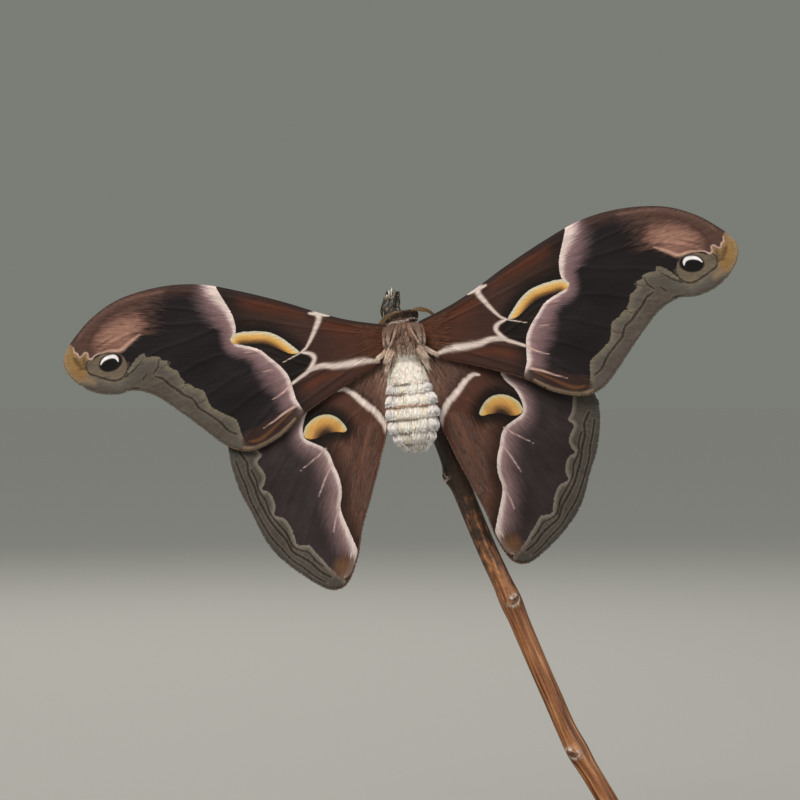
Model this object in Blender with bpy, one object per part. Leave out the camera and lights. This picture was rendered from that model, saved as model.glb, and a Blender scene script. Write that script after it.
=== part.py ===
"""Eri silkmoth, a still life-size model: the moth sits head up on a cut length of twig, on a small stand.

World frame: metres, +Z up, the origin under the middle of the stand's base, the moth's back towards -Y.
The moth's own pieces are modelled in the body's frame, where x runs to the moth's right, y to its belly and
z to its head. They hang from one empty that gives the body its place and its lean. Sizes are millimetres.
"""

import math
import random

import bmesh
import bpy
from mathutils import Euler, Matrix, Vector
from mathutils.geometry import delaunay_2d_cdt

MM = 0.001
GAP = 0.3  # room that neighbouring pieces keep

# The body: place of the middle of the thorax, and its lean towards the left
BODY_PLACE = (-18.0, -8.5, 115.0)
BODY_LEAN = 6.0

# The trunk pieces as stations (z, half width, half depth), out to the core under the coat
THORAX = (
    (3.2, 1.9, 1.9), (2.5, 2.7, 2.8), (1.2, 3.2, 3.4), (-0.8, 3.3, 3.5), (-2.6, 3.0, 3.1), (-4.1, 2.3, 2.3),
)
ABDOMEN = (
    (-4.4, 2.1, 1.9), (-6.8, 2.8, 2.6), (-9.6, 3.6, 3.3), (-12.4, 4.1, 3.7),
    (-15.2, 4.2, 3.8), (-17.4, 3.7, 3.4), (-19.2, 2.6, 2.4), (-20.3, 1.2, 1.1),
)
COAT_REACH = 0.9  # how far the coat's tips stand off these forms
# Rows of the coat: height of the roots on the form, and length of the locks
THORAX_ROWS = ((2.1, 2.6), (0.7, 2.6), (-0.8, 2.4), (-2.3, 1.7))
THORAX_LOCK = (2.1, 0.55)  # width, thickness
COLLAR_ROW = (2.6, 1.4)
SHOULDER_LOCKS = (  # root, bend and tip of the long locks over the right wing's base
    ((1.9, -2.4, 2.5), (3.0, -2.45, 0.6), (3.3, -2.1, -1.7)),
    ((2.4, -2.0, 2.4), (3.6, -2.0, 0.9), (4.0, -1.8, -1.0)),
    ((2.6, -1.8, 1.6), (3.7, -1.85, -0.7), (3.9, -1.8, -2.6)),
    ((2.2, -2.0, -1.6), (3.2, -2.1, -2.8), (3.5, -1.9, -3.9)),
)
SHOULDER_LOCK = (1.4, 0.6)
ABDOMEN_HAIR_ROWS = ((-4.6, 2.6), (-6.1, 2.6))
ABDOMEN_HAIR = (2.5, 0.55)
WOOL_ROWS = ((-7.7, 2.6), (-9.5, 2.9), (-11.8, 2.9), (-14.0, 2.9), (-16.2, 2.8), (-18.2, 2.2))
WOOL_CLUMP = (2.75, 1.1)
TAIL_ROW = (-19.6, 1.6)
TAIL_LOCK = (1.8, 0.9)

# The head hangs a little to the right and low, towards the belly
HEAD_MIDDLE = (0.9, 1.9, 3.9)
HEAD_HALVES = (1.9, 2.1, 1.2)
HEAD_LOCK = (1.3, 1.1, 0.5)
NECK_Z = 3.5
EYE_RADIUS = 0.85
EYE_OUT = (1.45, 0.7, 0.3)

# Wings. Outlines and veins are (out, forward) from the hinge, for a wing of the left or the right
WING_THICK = 0.5
VEIN_HALF_WIDTH = 0.4
VEIN_RISE = 0.15
WING_REACH = 62.0
WING_DROOP = {"left": 5.0, "right": -1.0}  # how far each forewing's tip lies towards the belly from its root
FORE_PLANE = -0.55
HIND_PLANE = 0.6
WING_ROOT = 2.6  # where the wing bases end, inside the grooves in the thorax

FORE_HINGE = (3.65, 0.6)
FORE_RAISE = {"left": -3.3, "right": 4.4}
FORE_EDGE = (
    (-1.0, 2.0), (5.7, 4.0), (10.9, 6.2), (17.2, 9.3), (24.9, 12.6), (32.1, 15.1), (39.5, 15.9),
    (47.3, 15.0), (52.8, 12.6), (56.9, 9.4), (59.3, 6.6), (59.6, 3.9), (57.9, 1.0), (54.8, -1.3),
    (51.0, -2.3), (47.5, -2.1), (43.6, -3.7), (39.6, -7.3), (36.3, -10.6), (33.1, -14.0), (30.3, -16.1),
    (27.0, -16.7), (21.9, -15.0), (16.8, -11.6), (9.5, -8.1), (-1.0, -3.9),
)
FORE_VEINS = {
    "subcosta": ((0.8, 1.5), (7.5, 3.7), (14.5, 6.7), (22.4, 9.9), (31.3, 13.2), (38.0, 14.8)),
    "radius": ((0.8, 0.4), (7.7, 2.2), (14.9, 4.3), (23.7, 7.3), (32.6, 10.2), (41.7, 12.3), (49.2, 11.8)),
    "radius_five": ((23.7, 7.3), (33.0, 8.0), (42.2, 8.8), (50.0, 7.2), (56.0, 3.6)),
    "media_one": ((27.0, 7.5), (35.3, 5.4), (43.0, 3.9), (48.9, 0.1)),
    "media_two": ((18.5, -1.1), (22.4, 1.0), (31.2, 1.5), (39.1, -0.7), (43.5, -2.0)),
    "media_three": ((18.5, -1.1), (27.2, -2.5), (34.3, -5.6), (37.6, -6.6)),
    "cubitus_one": ((13.3, -3.3), (23.6, -5.9), (30.2, -9.3), (33.7, -11.2)),
    "cubitus_two": ((7.6, -2.9), (18.5, -6.7), (24.5, -11.0), (28.6, -14.8)),
    "cell": ((0.8, -0.7), (7.6, -2.9), (13.3, -3.3), (18.5, -1.1)),
    "anal": ((0.8, -2.1), (9.0, -5.8), (17.2, -9.9), (24.0, -14.2)),
}

HIND_HINGE = (3.25, -3.2)
HIND_RAISE = {"left": -0.5, "right": 0.5}
HIND_TILT = {"left": 0.0, "right": 6.0}  # how far each hindwing's lower tip trails towards the belly
HIND_LENGTH = 41.6
HIND_EDGE = (
    (-0.6, 0.9), (9.0, 0.2), (18.6, -2.2), (26.2, -6.2), (30.5, -10.6), (31.2, -14.8), (30.2, -20.9),
    (28.3, -25.8), (26.1, -31.5), (23.2, -35.5), (18.3, -39.8), (15.0, -41.6), (12.2, -40.6),
    (9.9, -36.1), (8.4, -30.8), (5.9, -24.6), (3.6, -18.5), (2.7, -14.5), (2.4, -11.0), (1.9, -7.5),
    (0.9, -4.4), (-0.6, -2.4),
)
HIND_VEINS = {
    "radius": ((0.8, -0.5), (9.4, -2.5), (17.2, -5.5), (24.7, -9.1), (29.4, -12.6)),
    "media_one": ((9.4, -2.5), (11.8, -6.9), (17.8, -10.6), (24.3, -15.1), (29.0, -19.2)),
    "media_two": ((11.8, -6.9), (17.4, -12.2), (22.4, -18.3), (27.2, -25.2)),
    "media_three": ((14.0, -9.8), (15.9, -13.8), (20.7, -23.0), (24.9, -31.0)),
    "cubitus_one": ((6.0, -9.0), (9.5, -11.8), (13.6, -19.7), (18.1, -29.4), (20.2, -36.5)),
    "cubitus_two": ((1.4, -1.9), (6.0, -9.0), (8.8, -16.5), (13.4, -29.0), (16.0, -39.2)),
    "anal": ((1.4, -1.9), (4.9, -12.0), (8.6, -24.0), (11.3, -33.9), (12.9, -38.8)),
}

# Feelers: root to tip in the body's frame, and the reach of their combs
ANTENNAE = {
    "right": (
        (1.7, 1.0, 4.7), (2.5, 0.9, 5.1), (3.7, 1.6, 5.0),
        (4.9, 2.8, 4.5), (6.0, 4.2, 3.6), (6.8, 5.6, 2.5),
    ),
    "left": (
        (0.1, 1.0, 4.7), (-0.9, 0.6, 4.8), (-2.2, 0.9, 4.4),
        (-3.5, 1.9, 3.6), (-4.8, 3.2, 2.4), (-5.9, 4.5, 1.2),
    ),
}
SHAFT_RADIUS = 0.3
COMB_REACH = 1.7
COMB_TEETH = 8
COMB_HALF_THICK = 0.25

# The twig's middle line at y = 0 as (x, z), from its broken top to its cut foot, and its girth
TWIG_LINE = (
    (-20.0, 123.2), (-20.4, 119.6), (-17.8, 113.7), (-13.6, 103.5), (-9.9, 94.3), (-6.3, 85.0), (-2.5, 75.8),
    (1.8, 66.5), (5.7, 57.3), (9.8, 48.0), (14.0, 38.8), (20.1, 28.5), (26.4, 17.8),
)
TWIG_RADIUS = 1.85
TWIG_BUDS = ((89.7, -80.0), (65.6, 15.0), (37.6, -25.0))  # height of each scar, and its turn from the front
BUD_RADIUS = 1.1
SPLINTERS = ((-0.5, -0.3, 1.4), (0.35, -0.4, 0.8), (0.1, 0.5, 1.1))  # offset from the broken top, and height
TWIG_SIDES = 10

# Legs: root and knee in the body's frame for the right side, and the height where the foot holds the twig
LEGS = {
    "front": ((1.2, 2.9, 2.0), (3.3, 5.6, 0.9), 3.4),
    "mid": ((1.6, 3.1, -0.3), (4.7, 5.6, -0.6), -1.2),
    "hind": ((1.2, 2.9, -2.4), (4.3, 5.5, -4.4), -5.6),
}
LEG_RADII = (0.5, 0.52, 0.4, 0.42, 0.32, 0.3, 0.28, 0.26)

# Stand
BASE_SIZE = (100.0, 66.0, 8.0)
BASE_CORNER = 8.0
BASE_CHAMFER = 1.2
ROD_RADIUS = 1.5
FOOT_RADIUS = 4.0
FOOT_HEIGHT = 1.2
CUP_WALL = 1.0
CUP_DEPTH = 5.5


def clear_scene():
    """Removes every object that the file opened with."""
    for old in list(bpy.data.objects):
        bpy.data.objects.remove(old, do_unlink=True)


def material(name, colour, roughness, metallic=0.0):
    """A plain finish with one colour."""
    made = bpy.data.materials.new(name)
    made.use_nodes = True
    shader = made.node_tree.nodes["Principled BSDF"]
    shader.inputs["Base Color"].default_value = (*colour, 1.0)
    shader.inputs["Roughness"].default_value = roughness
    shader.inputs["Metallic"].default_value = metallic
    return made


def node(name, bm, finish, parent=None, collection=None, smooth_angle=40.0):
    """Turns a bmesh in millimetres into a named object in metres."""
    bmesh.ops.recalc_face_normals(bm, faces=bm.faces)
    bmesh.ops.triangulate(bm, faces=bm.faces)
    bmesh.ops.scale(bm, vec=(MM, MM, MM), verts=bm.verts)
    mesh = bpy.data.meshes.new(name)
    bm.to_mesh(mesh)
    bm.free()
    mesh.shade_smooth()
    mesh.set_sharp_from_angle(angle=math.radians(smooth_angle))
    if finish:
        mesh.materials.append(finish)
    made = bpy.data.objects.new(name, mesh)
    (collection or bpy.context.scene.collection).objects.link(made)
    made.parent = parent
    return made


def curve(points, spacing):
    """Points about one spacing apart on a smooth curve through the given ones."""
    given = [Vector(p) for p in points]
    ends = [given[0] * 2 - given[1], *given, given[-1] * 2 - given[-2]]
    made = []
    for a, b, c, d in zip(ends, ends[1:], ends[2:], ends[3:]):
        steps = max(1, round((c - b).length / spacing))
        for k in range(steps):
            t = k / steps
            made.append(
                b + (c - a) * (t / 2) + (a * 2 - b * 5 + c * 4 - d) * (t * t / 2)
                + (b * 3 - a - c * 3 + d) * (t * t * t / 2)
            )
    return [*made, given[-1]]


def bridge(bm, first, second):
    """Closes two rings of the same count with quads."""
    for i in range(len(first)):
        j = (i + 1) % len(first)
        bm.faces.new((first[i], first[j], second[j], second[i]))


def ring(bm, middle, side, out, half_width, half_depth, sides, start=0.0):
    """One oval ring of vertices round a middle point."""
    made = []
    for k in range(sides):
        turn = start + 2 * math.pi * k / sides
        spot = middle + side * (half_width * math.cos(turn)) + out * (half_depth * math.sin(turn))
        made.append(bm.verts.new(spot))
    return made


def tube(points, radii, sides, blunt=0.0):
    """A round bar through the points, with its own radius at each, and ends drawn to a low cone if blunt."""
    bm = bmesh.new()
    rings = []
    out = Vector((0, 1, 0))
    for i, point in enumerate(points):
        along = (points[min(i + 1, len(points) - 1)] - points[max(i - 1, 0)]).normalized()
        side = out.cross(along).normalized()
        out = along.cross(side)
        rings.append(ring(bm, point, side, out, radii[i], radii[i], sides))
    for first, second in zip(rings, rings[1:]):
        bridge(bm, first, second)
    for end, inner in ((0, 1), (-1, -2)):
        apex = bm.verts.new(points[end] + (points[end] - points[inner]).normalized() * blunt)
        loop = rings[end]
        for i in range(sides):
            bm.faces.new((loop[i], loop[(i + 1) % sides], apex))
    return bm


def sizes_at(form, z):
    """Half width and half depth of a trunk form at one height, on a smooth curve through its stations."""
    stations = sorted(form)
    for (z0, *low), (z1, *high) in zip(stations, stations[1:]):
        if z <= z1:
            t = min(1.0, max(0.0, (z - z0) / (z1 - z0)))
            return [a + (b - a) * t for a, b in zip(low, high)]
    return list(stations[-1][1:])


def trunk(form, rings, sides):
    """A closed oval form through the stations."""
    bm = bmesh.new()
    top, bottom = form[0][0], form[-1][0]
    loops = []
    for k in range(rings):
        z = top + (bottom - top) * k / (rings - 1)
        width, depth = sizes_at(form, z)
        middle, side, out = Vector((0, 0, z)), Vector((1, 0, 0)), Vector((0, 1, 0))
        loops.append(ring(bm, middle, side, out, width, depth, sides))
    for first, second in zip(loops, loops[1:]):
        bridge(bm, first, second)
    bm.faces.new(loops[0])
    bm.faces.new(loops[-1])
    return bm


def distance(point, line):
    """Distance from a point to a line of points, in the plane of the wing."""
    best = 1e9
    for a, b in zip(line, line[1:]):
        span = b - a
        t = min(1.0, max(0.0, (point - a).dot(span) / span.length_squared))
        best = min(best, (point - a - span * t).length)
    return best


def inside(point, loop):
    """True where a point of the plane lies inside a closed loop."""
    hit = False
    for a, b in zip(loop, [*loop[1:], loop[0]]):
        if (a.y > point.y) != (b.y > point.y):
            if point.x < a.x + (point.y - a.y) * (b.x - a.x) / (b.y - a.y):
                hit = not hit
    return hit


def wing_mesh(edge, veins, place):
    """A thin wing with its veins raised on both faces, both split into triangles alike.

    place turns a flat point and its rise off the middle sheet into a point of the body's frame.
    """
    border = curve(edge, 3.4)
    lines = [curve(points, 5.0) for points in veins.values()]
    points = list(border)
    edges = [(i, (i + 1) % len(border)) for i in range(len(border))]

    def lay(line):
        kept = [p for p in line if inside(p, border) and distance(p, [*border, border[0]]) > 0.5]
        first = len(points)
        points.extend(kept)
        edges.extend((i, i + 1) for i in range(first, first + len(kept) - 1))

    for line in lines:
        lay(line)
        others = [other for other in lines if other is not line]
        for hand in (-1, 1):
            flank = []
            for before, here, after in zip([line[0], *line], line, [*line[1:], line[-1]]):
                along = (after - before).normalized()
                beside = here + Vector((-along.y, along.x)) * (hand * VEIN_HALF_WIDTH)
                if min(distance(beside, other) for other in others) > VEIN_HALF_WIDTH * 0.4:
                    flank.append(beside)
            lay(flank)
    for i in range(1, 12):
        for j in range(-8, 4):
            spot = Vector((i * 5.4 + (j % 2) * 2.7, j * 5.4))
            if inside(spot, border) and distance(spot, [*border, border[0]]) > 1.8:
                if min(distance(spot, line) for line in lines) > 1.6:
                    points.append(spot)
    flat, _, faces, *_ = delaunay_2d_cdt(points, edges, [list(range(len(border)))], 1, 1e-4)
    bm = bmesh.new()
    rises = []
    for p in flat:
        off = min(distance(p, line) for line in lines)
        rises.append(VEIN_RISE * max(0.0, 1 - off / VEIN_HALF_WIDTH))
    back = [bm.verts.new(place(p, -WING_THICK / 2 - rise)) for p, rise in zip(flat, rises)]
    belly = [bm.verts.new(place(p, WING_THICK / 2 + rise)) for p, rise in zip(flat, rises)]
    count = {}
    for face in faces:
        bm.faces.new([back[i] for i in face])
        bm.faces.new([belly[i] for i in reversed(face)])
        for a, b in zip(face, [*face[1:], face[0]]):
            count[(a, b)] = count.get((a, b), 0) + 1
    for a, b in count:
        if (b, a) not in count:
            bm.faces.new((back[b], back[a], belly[a], belly[b]))
    bmesh.ops.delete(bm, geom=[v for v in bm.verts if not v.link_faces], context="VERTS")
    return bm


def sheet_depth(side, x):
    """How far a side's common sheet has sunk towards the belly at this distance from the body's middle."""
    return WING_DROOP[side] * (abs(x) / WING_REACH) ** 2.2


def wing_place(side, hinge, lift, plane, tilt=0.0):
    """The function that lays a flat wing point in the body's frame, clear of the trunk."""
    turn = math.radians(lift)
    hand = -1 if side == "left" else 1
    shorter = 1 - (tilt / HIND_LENGTH) ** 2 * 9 / 16  # what a trailing sheet's bend takes off its height

    def place(p, rise):
        x = hinge[0] + p.x * math.cos(turn) - p.y * shorter * math.sin(turn)
        z = hinge[1] + p.x * math.sin(turn) + p.y * shorter * math.cos(turn)
        if z < ABDOMEN[0][0]:
            x = max(x, sizes_at(ABDOMEN, z)[0] + COAT_REACH + GAP)
        x = max(x, WING_ROOT)
        trail = tilt * (max(0.0, -p.y) / HIND_LENGTH) ** 1.5
        return Vector((hand * x, plane + sheet_depth(side, x) + trail + rise, z))

    return place


def wings(moth):
    """Two forewings, and two hindwings that lie a little behind them."""
    scales = material("wing_scales", (0.07, 0.035, 0.03), 0.75)
    for side in ("left", "right"):
        place = wing_place(side, FORE_HINGE, FORE_RAISE[side], FORE_PLANE)
        node(f"forewing_{side}", wing_mesh(FORE_EDGE, FORE_VEINS, place), scales, moth)
        place = wing_place(side, HIND_HINGE, HIND_RAISE[side], HIND_PLANE, HIND_TILT[side])
        node(f"hindwing_{side}", wing_mesh(HIND_EDGE, HIND_VEINS, place), scales, moth)


def block(low, high):
    """A closed box between two corners."""
    bm = bmesh.new()
    bmesh.ops.create_cube(bm, size=1.0)
    size = Vector(high) - Vector(low)
    bmesh.ops.scale(bm, vec=size, verts=bm.verts)
    bmesh.ops.translate(bm, vec=(Vector(high) + Vector(low)) / 2, verts=bm.verts)
    return bm


def ball(middle, halves, across=16, up=10):
    """A closed oval ball."""
    bm = bmesh.new()
    bmesh.ops.create_uvsphere(bm, u_segments=across, v_segments=up, radius=1.0)
    bmesh.ops.scale(bm, vec=halves, verts=bm.verts)
    bmesh.ops.translate(bm, vec=middle, verts=bm.verts)
    return bm


def keep_largest(made):
    """Drops all but the largest closed surface of an object's mesh."""
    bm = bmesh.new()
    bm.from_mesh(made.data)
    groups = []
    seen = set()
    for start in bm.faces:
        if start in seen:
            continue
        seen.add(start)
        group = [start]
        for face in group:
            for edge in face.edges:
                for other in edge.link_faces:
                    if other not in seen:
                        seen.add(other)
                        group.append(other)
        groups.append(group)
    volumes = [sum(f.calc_center_median().dot(f.normal) * f.calc_area() for f in group) for group in groups]
    largest = volumes.index(max(volumes))
    for k, group in enumerate(groups):
        if k != largest:
            bmesh.ops.delete(bm, geom=group, context="FACES")
    bmesh.ops.delete(bm, geom=[v for v in bm.verts if not v.link_faces], context="VERTS")
    bmesh.ops.triangulate(bm, faces=bm.faces)
    bm.to_mesh(made.data)
    bm.free()


def fuse(made, pieces, operation, solver="EXACT"):
    """Joins closed pieces to an object, or takes their room out of it, in one Boolean."""
    group = bpy.data.collections.new("pieces")
    bpy.context.scene.collection.children.link(group)
    for k, bm in enumerate(pieces):
        node(f"piece_{k}", bm, None, collection=group)
    step = made.modifiers.new("fuse", "BOOLEAN")
    step.operation = operation
    step.solver = solver
    step.operand_type = "COLLECTION"
    step.collection = group
    bpy.context.view_layer.update()
    result = bpy.data.meshes.new_from_object(made.evaluated_get(bpy.context.evaluated_depsgraph_get()))
    made.modifiers.clear()
    made.data = result
    for piece in list(group.objects):
        bpy.data.objects.remove(piece, do_unlink=True)
    bpy.data.collections.remove(group)
    keep_largest(made)
    made.data.shade_smooth()
    made.data.set_sharp_from_angle(angle=math.radians(40.0))


def twig_at(height):
    """Middle of the twig at a world height."""
    for (x1, z1), (x0, z0) in zip(TWIG_LINE, TWIG_LINE[1:]):
        if z0 <= height <= z1:
            return Vector((x0 + (x1 - x0) * (height - z0) / (z1 - z0), 0.0, height))
    raise ValueError("no twig at this height")


def body_turn():
    """The body's turn in the world, which is its lean."""
    return Euler((0.0, math.radians(-BODY_LEAN), 0.0))


def leg_points(side, root, knee, hold):
    """Thigh, shin and the foot's curl round the twig, in the body's frame."""
    hand = -1 if side == "left" else 1
    to_body = (Matrix.Translation(BODY_PLACE) @ body_turn().to_matrix().to_4x4()).inverted()
    reach = TWIG_RADIUS + GAP + LEG_RADII[-4] + 0.25
    root = Vector((hand * root[0], *root[1:]))
    knee = Vector((hand * knee[0], *knee[1:]))
    points = [root, (root + knee) / 2, knee]
    for turn, drop in ((50, 0.0), (80, 0.2), (110, 0.6), (135, 1.0)):
        angle = math.radians(turn)
        middle = to_body @ twig_at(BODY_PLACE[2] + hold - drop)
        points.append(middle + Vector((hand * math.sin(angle), -math.cos(angle), 0.0)) * reach)
    points.insert(3, (knee + points[3]) / 2)
    return points


def legs(moth):
    """Six legs, each a bent bar from the thorax to the twig."""
    horn = material("leg_scales", (0.10, 0.06, 0.045), 0.7)
    for name, (root, knee, hold) in LEGS.items():
        for side in ("left", "right"):
            node(f"leg_{name}_{side}", leg_bar(side, root, knee, hold, 0.0), horn, moth)


def leg_bar(side, root, knee, hold, room):
    """The bar of one leg, or with room the space that its root needs."""
    return tube(leg_points(side, root, knee, hold), [r + room for r in LEG_RADII], 7, 0.15 + room)


def lock(path, widths, heights, across, sides=5):
    """A closed lock: flat oval rings along the path, drawn to a point at its end."""
    bm = bmesh.new()
    rings = []
    for i in range(len(path) - 1):
        along = (path[i + 1] - path[max(i - 1, 0)]).normalized()
        out = along.cross(across).normalized()
        side = out.cross(along)
        rings.append(ring(bm, path[i], side, out, widths[i] / 2, heights[i] / 2, sides, math.pi / 2))
    for first, second in zip(rings, rings[1:]):
        bridge(bm, first, second)
    bm.faces.new(rings[0])
    tip = bm.verts.new(path[-1])
    for i in range(sides):
        bm.faces.new((rings[-1][i], rings[-1][(i + 1) % sides], tip))
    return bm


def on_trunk(form, turn, z):
    """A point on a trunk form and the way out from it, turn being measured from the middle of the back."""
    width, depth = sizes_at(form, z)
    width_below, depth_below = sizes_at(form, z - 0.2)
    point = Vector((width * math.sin(turn), -depth * math.cos(turn), z))
    below = Vector((width_below * math.sin(turn), -depth_below * math.cos(turn), z - 0.2))
    round_way = Vector((width * math.cos(turn), depth * math.sin(turn), 0))
    out = round_way.cross(below - point).normalized()
    if out.dot(Vector((math.sin(turn), -math.cos(turn), 0))) < 0:
        out = -out
    return point, out, round_way.normalized()


def coat_row(form, row, size, draw, rise, skip=lambda point: False, spacing=0.97):
    """One row of locks round a trunk form, lying back along it and overlapping the next row.

    rise holds how far the middle and the tip stand off the form; spacing is in lock widths.
    """
    z, length = row
    width, height = size
    half_width, half_depth = sizes_at(form, z)
    count = max(6, round(math.pi * (half_width + half_depth + 0.6) / (width * spacing)))
    made = []
    start = draw.uniform(0, 1)
    for k in range(count):
        turn = 2 * math.pi * (k + start + draw.uniform(-0.12, 0.12)) / count
        z_root = z + draw.uniform(-0.15, 0.15)
        root, out, across = on_trunk(form, turn, z_root)
        if skip(root):
            continue
        long = length * draw.uniform(0.85, 1.1)
        lie = across.cross(out)
        lie = lie if lie.z < 0 else -lie
        swing = across * draw.uniform(-0.2, 0.2)
        path = [
            root - out * 0.5 - lie * 0.1,
            root + out * (rise[0] * 0.5) + lie * (long * 0.25),
            root + out * rise[0] + (lie + swing * 0.5) * (long * 0.68),
            root + out * rise[1] + (lie + swing) * long,
        ]
        wide = width * draw.uniform(0.9, 1.15)
        made.append(lock(path, (wide * 0.75, wide, wide * 0.7), (height, height, height * 0.75), across))
    return made


def thorax(moth):
    """The thorax, with grooves for the wing bases and sockets for the legs."""
    wool = material("thorax_hair", (0.25, 0.14, 0.10), 0.95)
    made = node("thorax", trunk(THORAX, 7, 14), wool)
    draw = random.Random(11)

    def on_wing_base(point):
        return abs(point.y) < 1.7

    def not_on_back(point):
        return point.y > -1.7

    locks = coat_row(THORAX, COLLAR_ROW, THORAX_LOCK, draw, (0.5, 0.6), not_on_back)
    for k, row in enumerate(THORAX_ROWS):
        locks += coat_row(THORAX, row, THORAX_LOCK, draw, (0.35, 0.6), not_on_back if k % 2 else on_wing_base)
    for hand in (-1, 1):
        for points in SHOULDER_LOCKS:
            root, bend, tip = (Vector((hand * x, y, z)) for x, y, z in points)
            path = [root + Vector((-0.4 * hand, 0.5, 0.3)), root, bend, tip]
            wide, thick = SHOULDER_LOCK
            across = (bend - root).cross(Vector((0, -1, 0))).normalized()
            locks.append(lock(path, (wide * 0.8, wide, wide * 0.8), (thick, thick, thick * 0.8), across))
    fuse(made, locks, "UNION")
    groove = WING_THICK / 2 + VEIN_RISE + GAP
    room = []
    for hand in (-1, 1):
        inner = hand * (WING_ROOT - GAP)
        outer = hand * 7.0
        low, high = min(inner, outer), max(inner, outer)
        room.append(block((low, FORE_PLANE - groove, -6.0), (high, HIND_PLANE + groove, 6.0)))
    room.append(block((-6.0, -6.0, -8.0), (6.0, 6.0, THORAX[-1][0])))
    room.append(block((-6.0, -6.0, THORAX[0][0]), (6.0, 6.0, 6.0)))
    fuse(made, room, "DIFFERENCE")
    sockets = [leg_bar(side, *sizes, GAP) for sizes in LEGS.values() for side in ("left", "right")]
    fuse(made, sockets, "DIFFERENCE")
    made.parent = moth


def abdomen(moth):
    """The abdomen in its woolly coat, which meets the thorax at a flat face."""
    wool = material("abdomen_wool", (0.78, 0.70, 0.60), 0.95)
    made = node("abdomen", trunk(ABDOMEN, 9, 14), wool)
    draw = random.Random(23)
    locks = []
    for row in ABDOMEN_HAIR_ROWS:
        locks += coat_row(ABDOMEN, row, ABDOMEN_HAIR, draw, (0.35, 0.55))
    for row in WOOL_ROWS:
        locks += coat_row(ABDOMEN, row, WOOL_CLUMP, draw, (0.38, 0.1))
    locks += coat_row(ABDOMEN, TAIL_ROW, TAIL_LOCK, draw, (0.4, 0.2))
    fuse(made, locks, "UNION")
    fuse(made, [block((-6.0, -6.0, ABDOMEN[0][0]), (6.0, 6.0, 0.0))], "DIFFERENCE")
    made.parent = moth


def head(moth):
    """The head with its eyes in sockets, cut flat where it meets the thorax."""
    wool = material("head_hair", (0.14, 0.08, 0.05), 0.95)
    glass = material("eye_horn", (0.012, 0.01, 0.009), 0.2)
    made = node("head", ball(HEAD_MIDDLE, HEAD_HALVES), wool)
    eyes = {}
    for side, hand in (("left", -1), ("right", 1)):
        eyes[side] = Vector(HEAD_MIDDLE) + Vector((hand * EYE_OUT[0], *EYE_OUT[1:]))
    fuse(made, head_locks(eyes.values()), "UNION")
    room = [block((-5.0, -5.0, 0.0), (6.0, 6.0, NECK_Z))]
    for side, middle in eyes.items():
        node(f"eye_{side}", ball(middle, (EYE_RADIUS,) * 3, 14, 8), glass, moth)
        room.append(ball(middle, (EYE_RADIUS + GAP,) * 3, 14, 8))
        room.append(feeler_bar(side, GAP))
    fuse(made, room, "DIFFERENCE")
    made.parent = moth


def head_locks(eyes):
    """Short hair that spreads from the head's crown and lies over its face, clear of eyes and feelers."""
    draw = random.Random(5)
    length, width, height = HEAD_LOCK
    feelers = [Vector(points[0]) for points in ANTENNAE.values()]
    middle = Vector(HEAD_MIDDLE)
    made = []
    for k in range(24):
        lift = 1 - (k + 0.5) / 18
        turn = k * 2.4
        flat = math.sqrt(max(0.0, 1 - lift * lift))
        way = Vector((flat * math.cos(turn), flat * math.sin(turn), lift))
        root = middle + Vector([a * b for a, b in zip(way, HEAD_HALVES)])
        out = Vector([a / b for a, b in zip(way, HEAD_HALVES)]).normalized()
        if min((root - f).length for f in feelers) < 0.9 or min((root - e).length for e in eyes) < 1.25:
            continue
        lie = Vector((way.x * 0.6, 1.0, -0.5))
        lie = (lie - out * lie.dot(out)).normalized()
        long = length * draw.uniform(0.8, 1.1)
        path = [
            root - out * 0.3, root + out * 0.15 + lie * (long * 0.25),
            root + out * 0.35 + lie * (long * 0.65), root + out * 0.45 + lie * long,
        ]
        widths = (width * 0.7, width, width * 0.7)
        made.append(lock(path, widths, (height, height, height * 0.8), out.cross(lie), 5))
    return made


def feeler_bar(side, room):
    """The tapered shaft of a feeler, or with room the space that it needs."""
    line = curve(ANTENNAE[side], 1.0)
    radii = [SHAFT_RADIUS + room - 0.08 * k / len(line) for k in range(len(line))]
    return tube(line, radii, 6, 0.1 + room)


def antennae(moth):
    """Two feelers, each a shaft with a comb of branches on both sides."""
    horn = material("antenna_horn", (0.17, 0.10, 0.05), 0.65)
    for side in ("left", "right"):
        made = node(f"antenna_{side}", feeler_bar(side, 0.0), horn)
        line = curve(ANTENNAE[side], 0.1)
        teeth = []
        for k in range(COMB_TEETH):
            t = 0.16 + 0.82 * k / (COMB_TEETH - 1)
            i = round(t * (len(line) - 2))
            point = line[i]
            along = (line[i + 1] - point).normalized()
            flat = (Vector((0, 1, 0)) - along * along.y).normalized()
            reach = SHAFT_RADIUS + COMB_REACH * math.sin(math.pi * min(1.0, 0.08 + t * 0.85)) ** 0.8
            for hand in (-1, 1):
                way = flat * hand
                path = [point, point + way * (reach * 0.6) + along * 0.12, point + way * reach + along * 0.35]
                thick = COMB_HALF_THICK * 2
                teeth.append(lock(path, (thick, thick * 0.8), (thick, thick * 0.8), along, 4))
        fuse(made, teeth, "UNION")
        made.parent = moth


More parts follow.
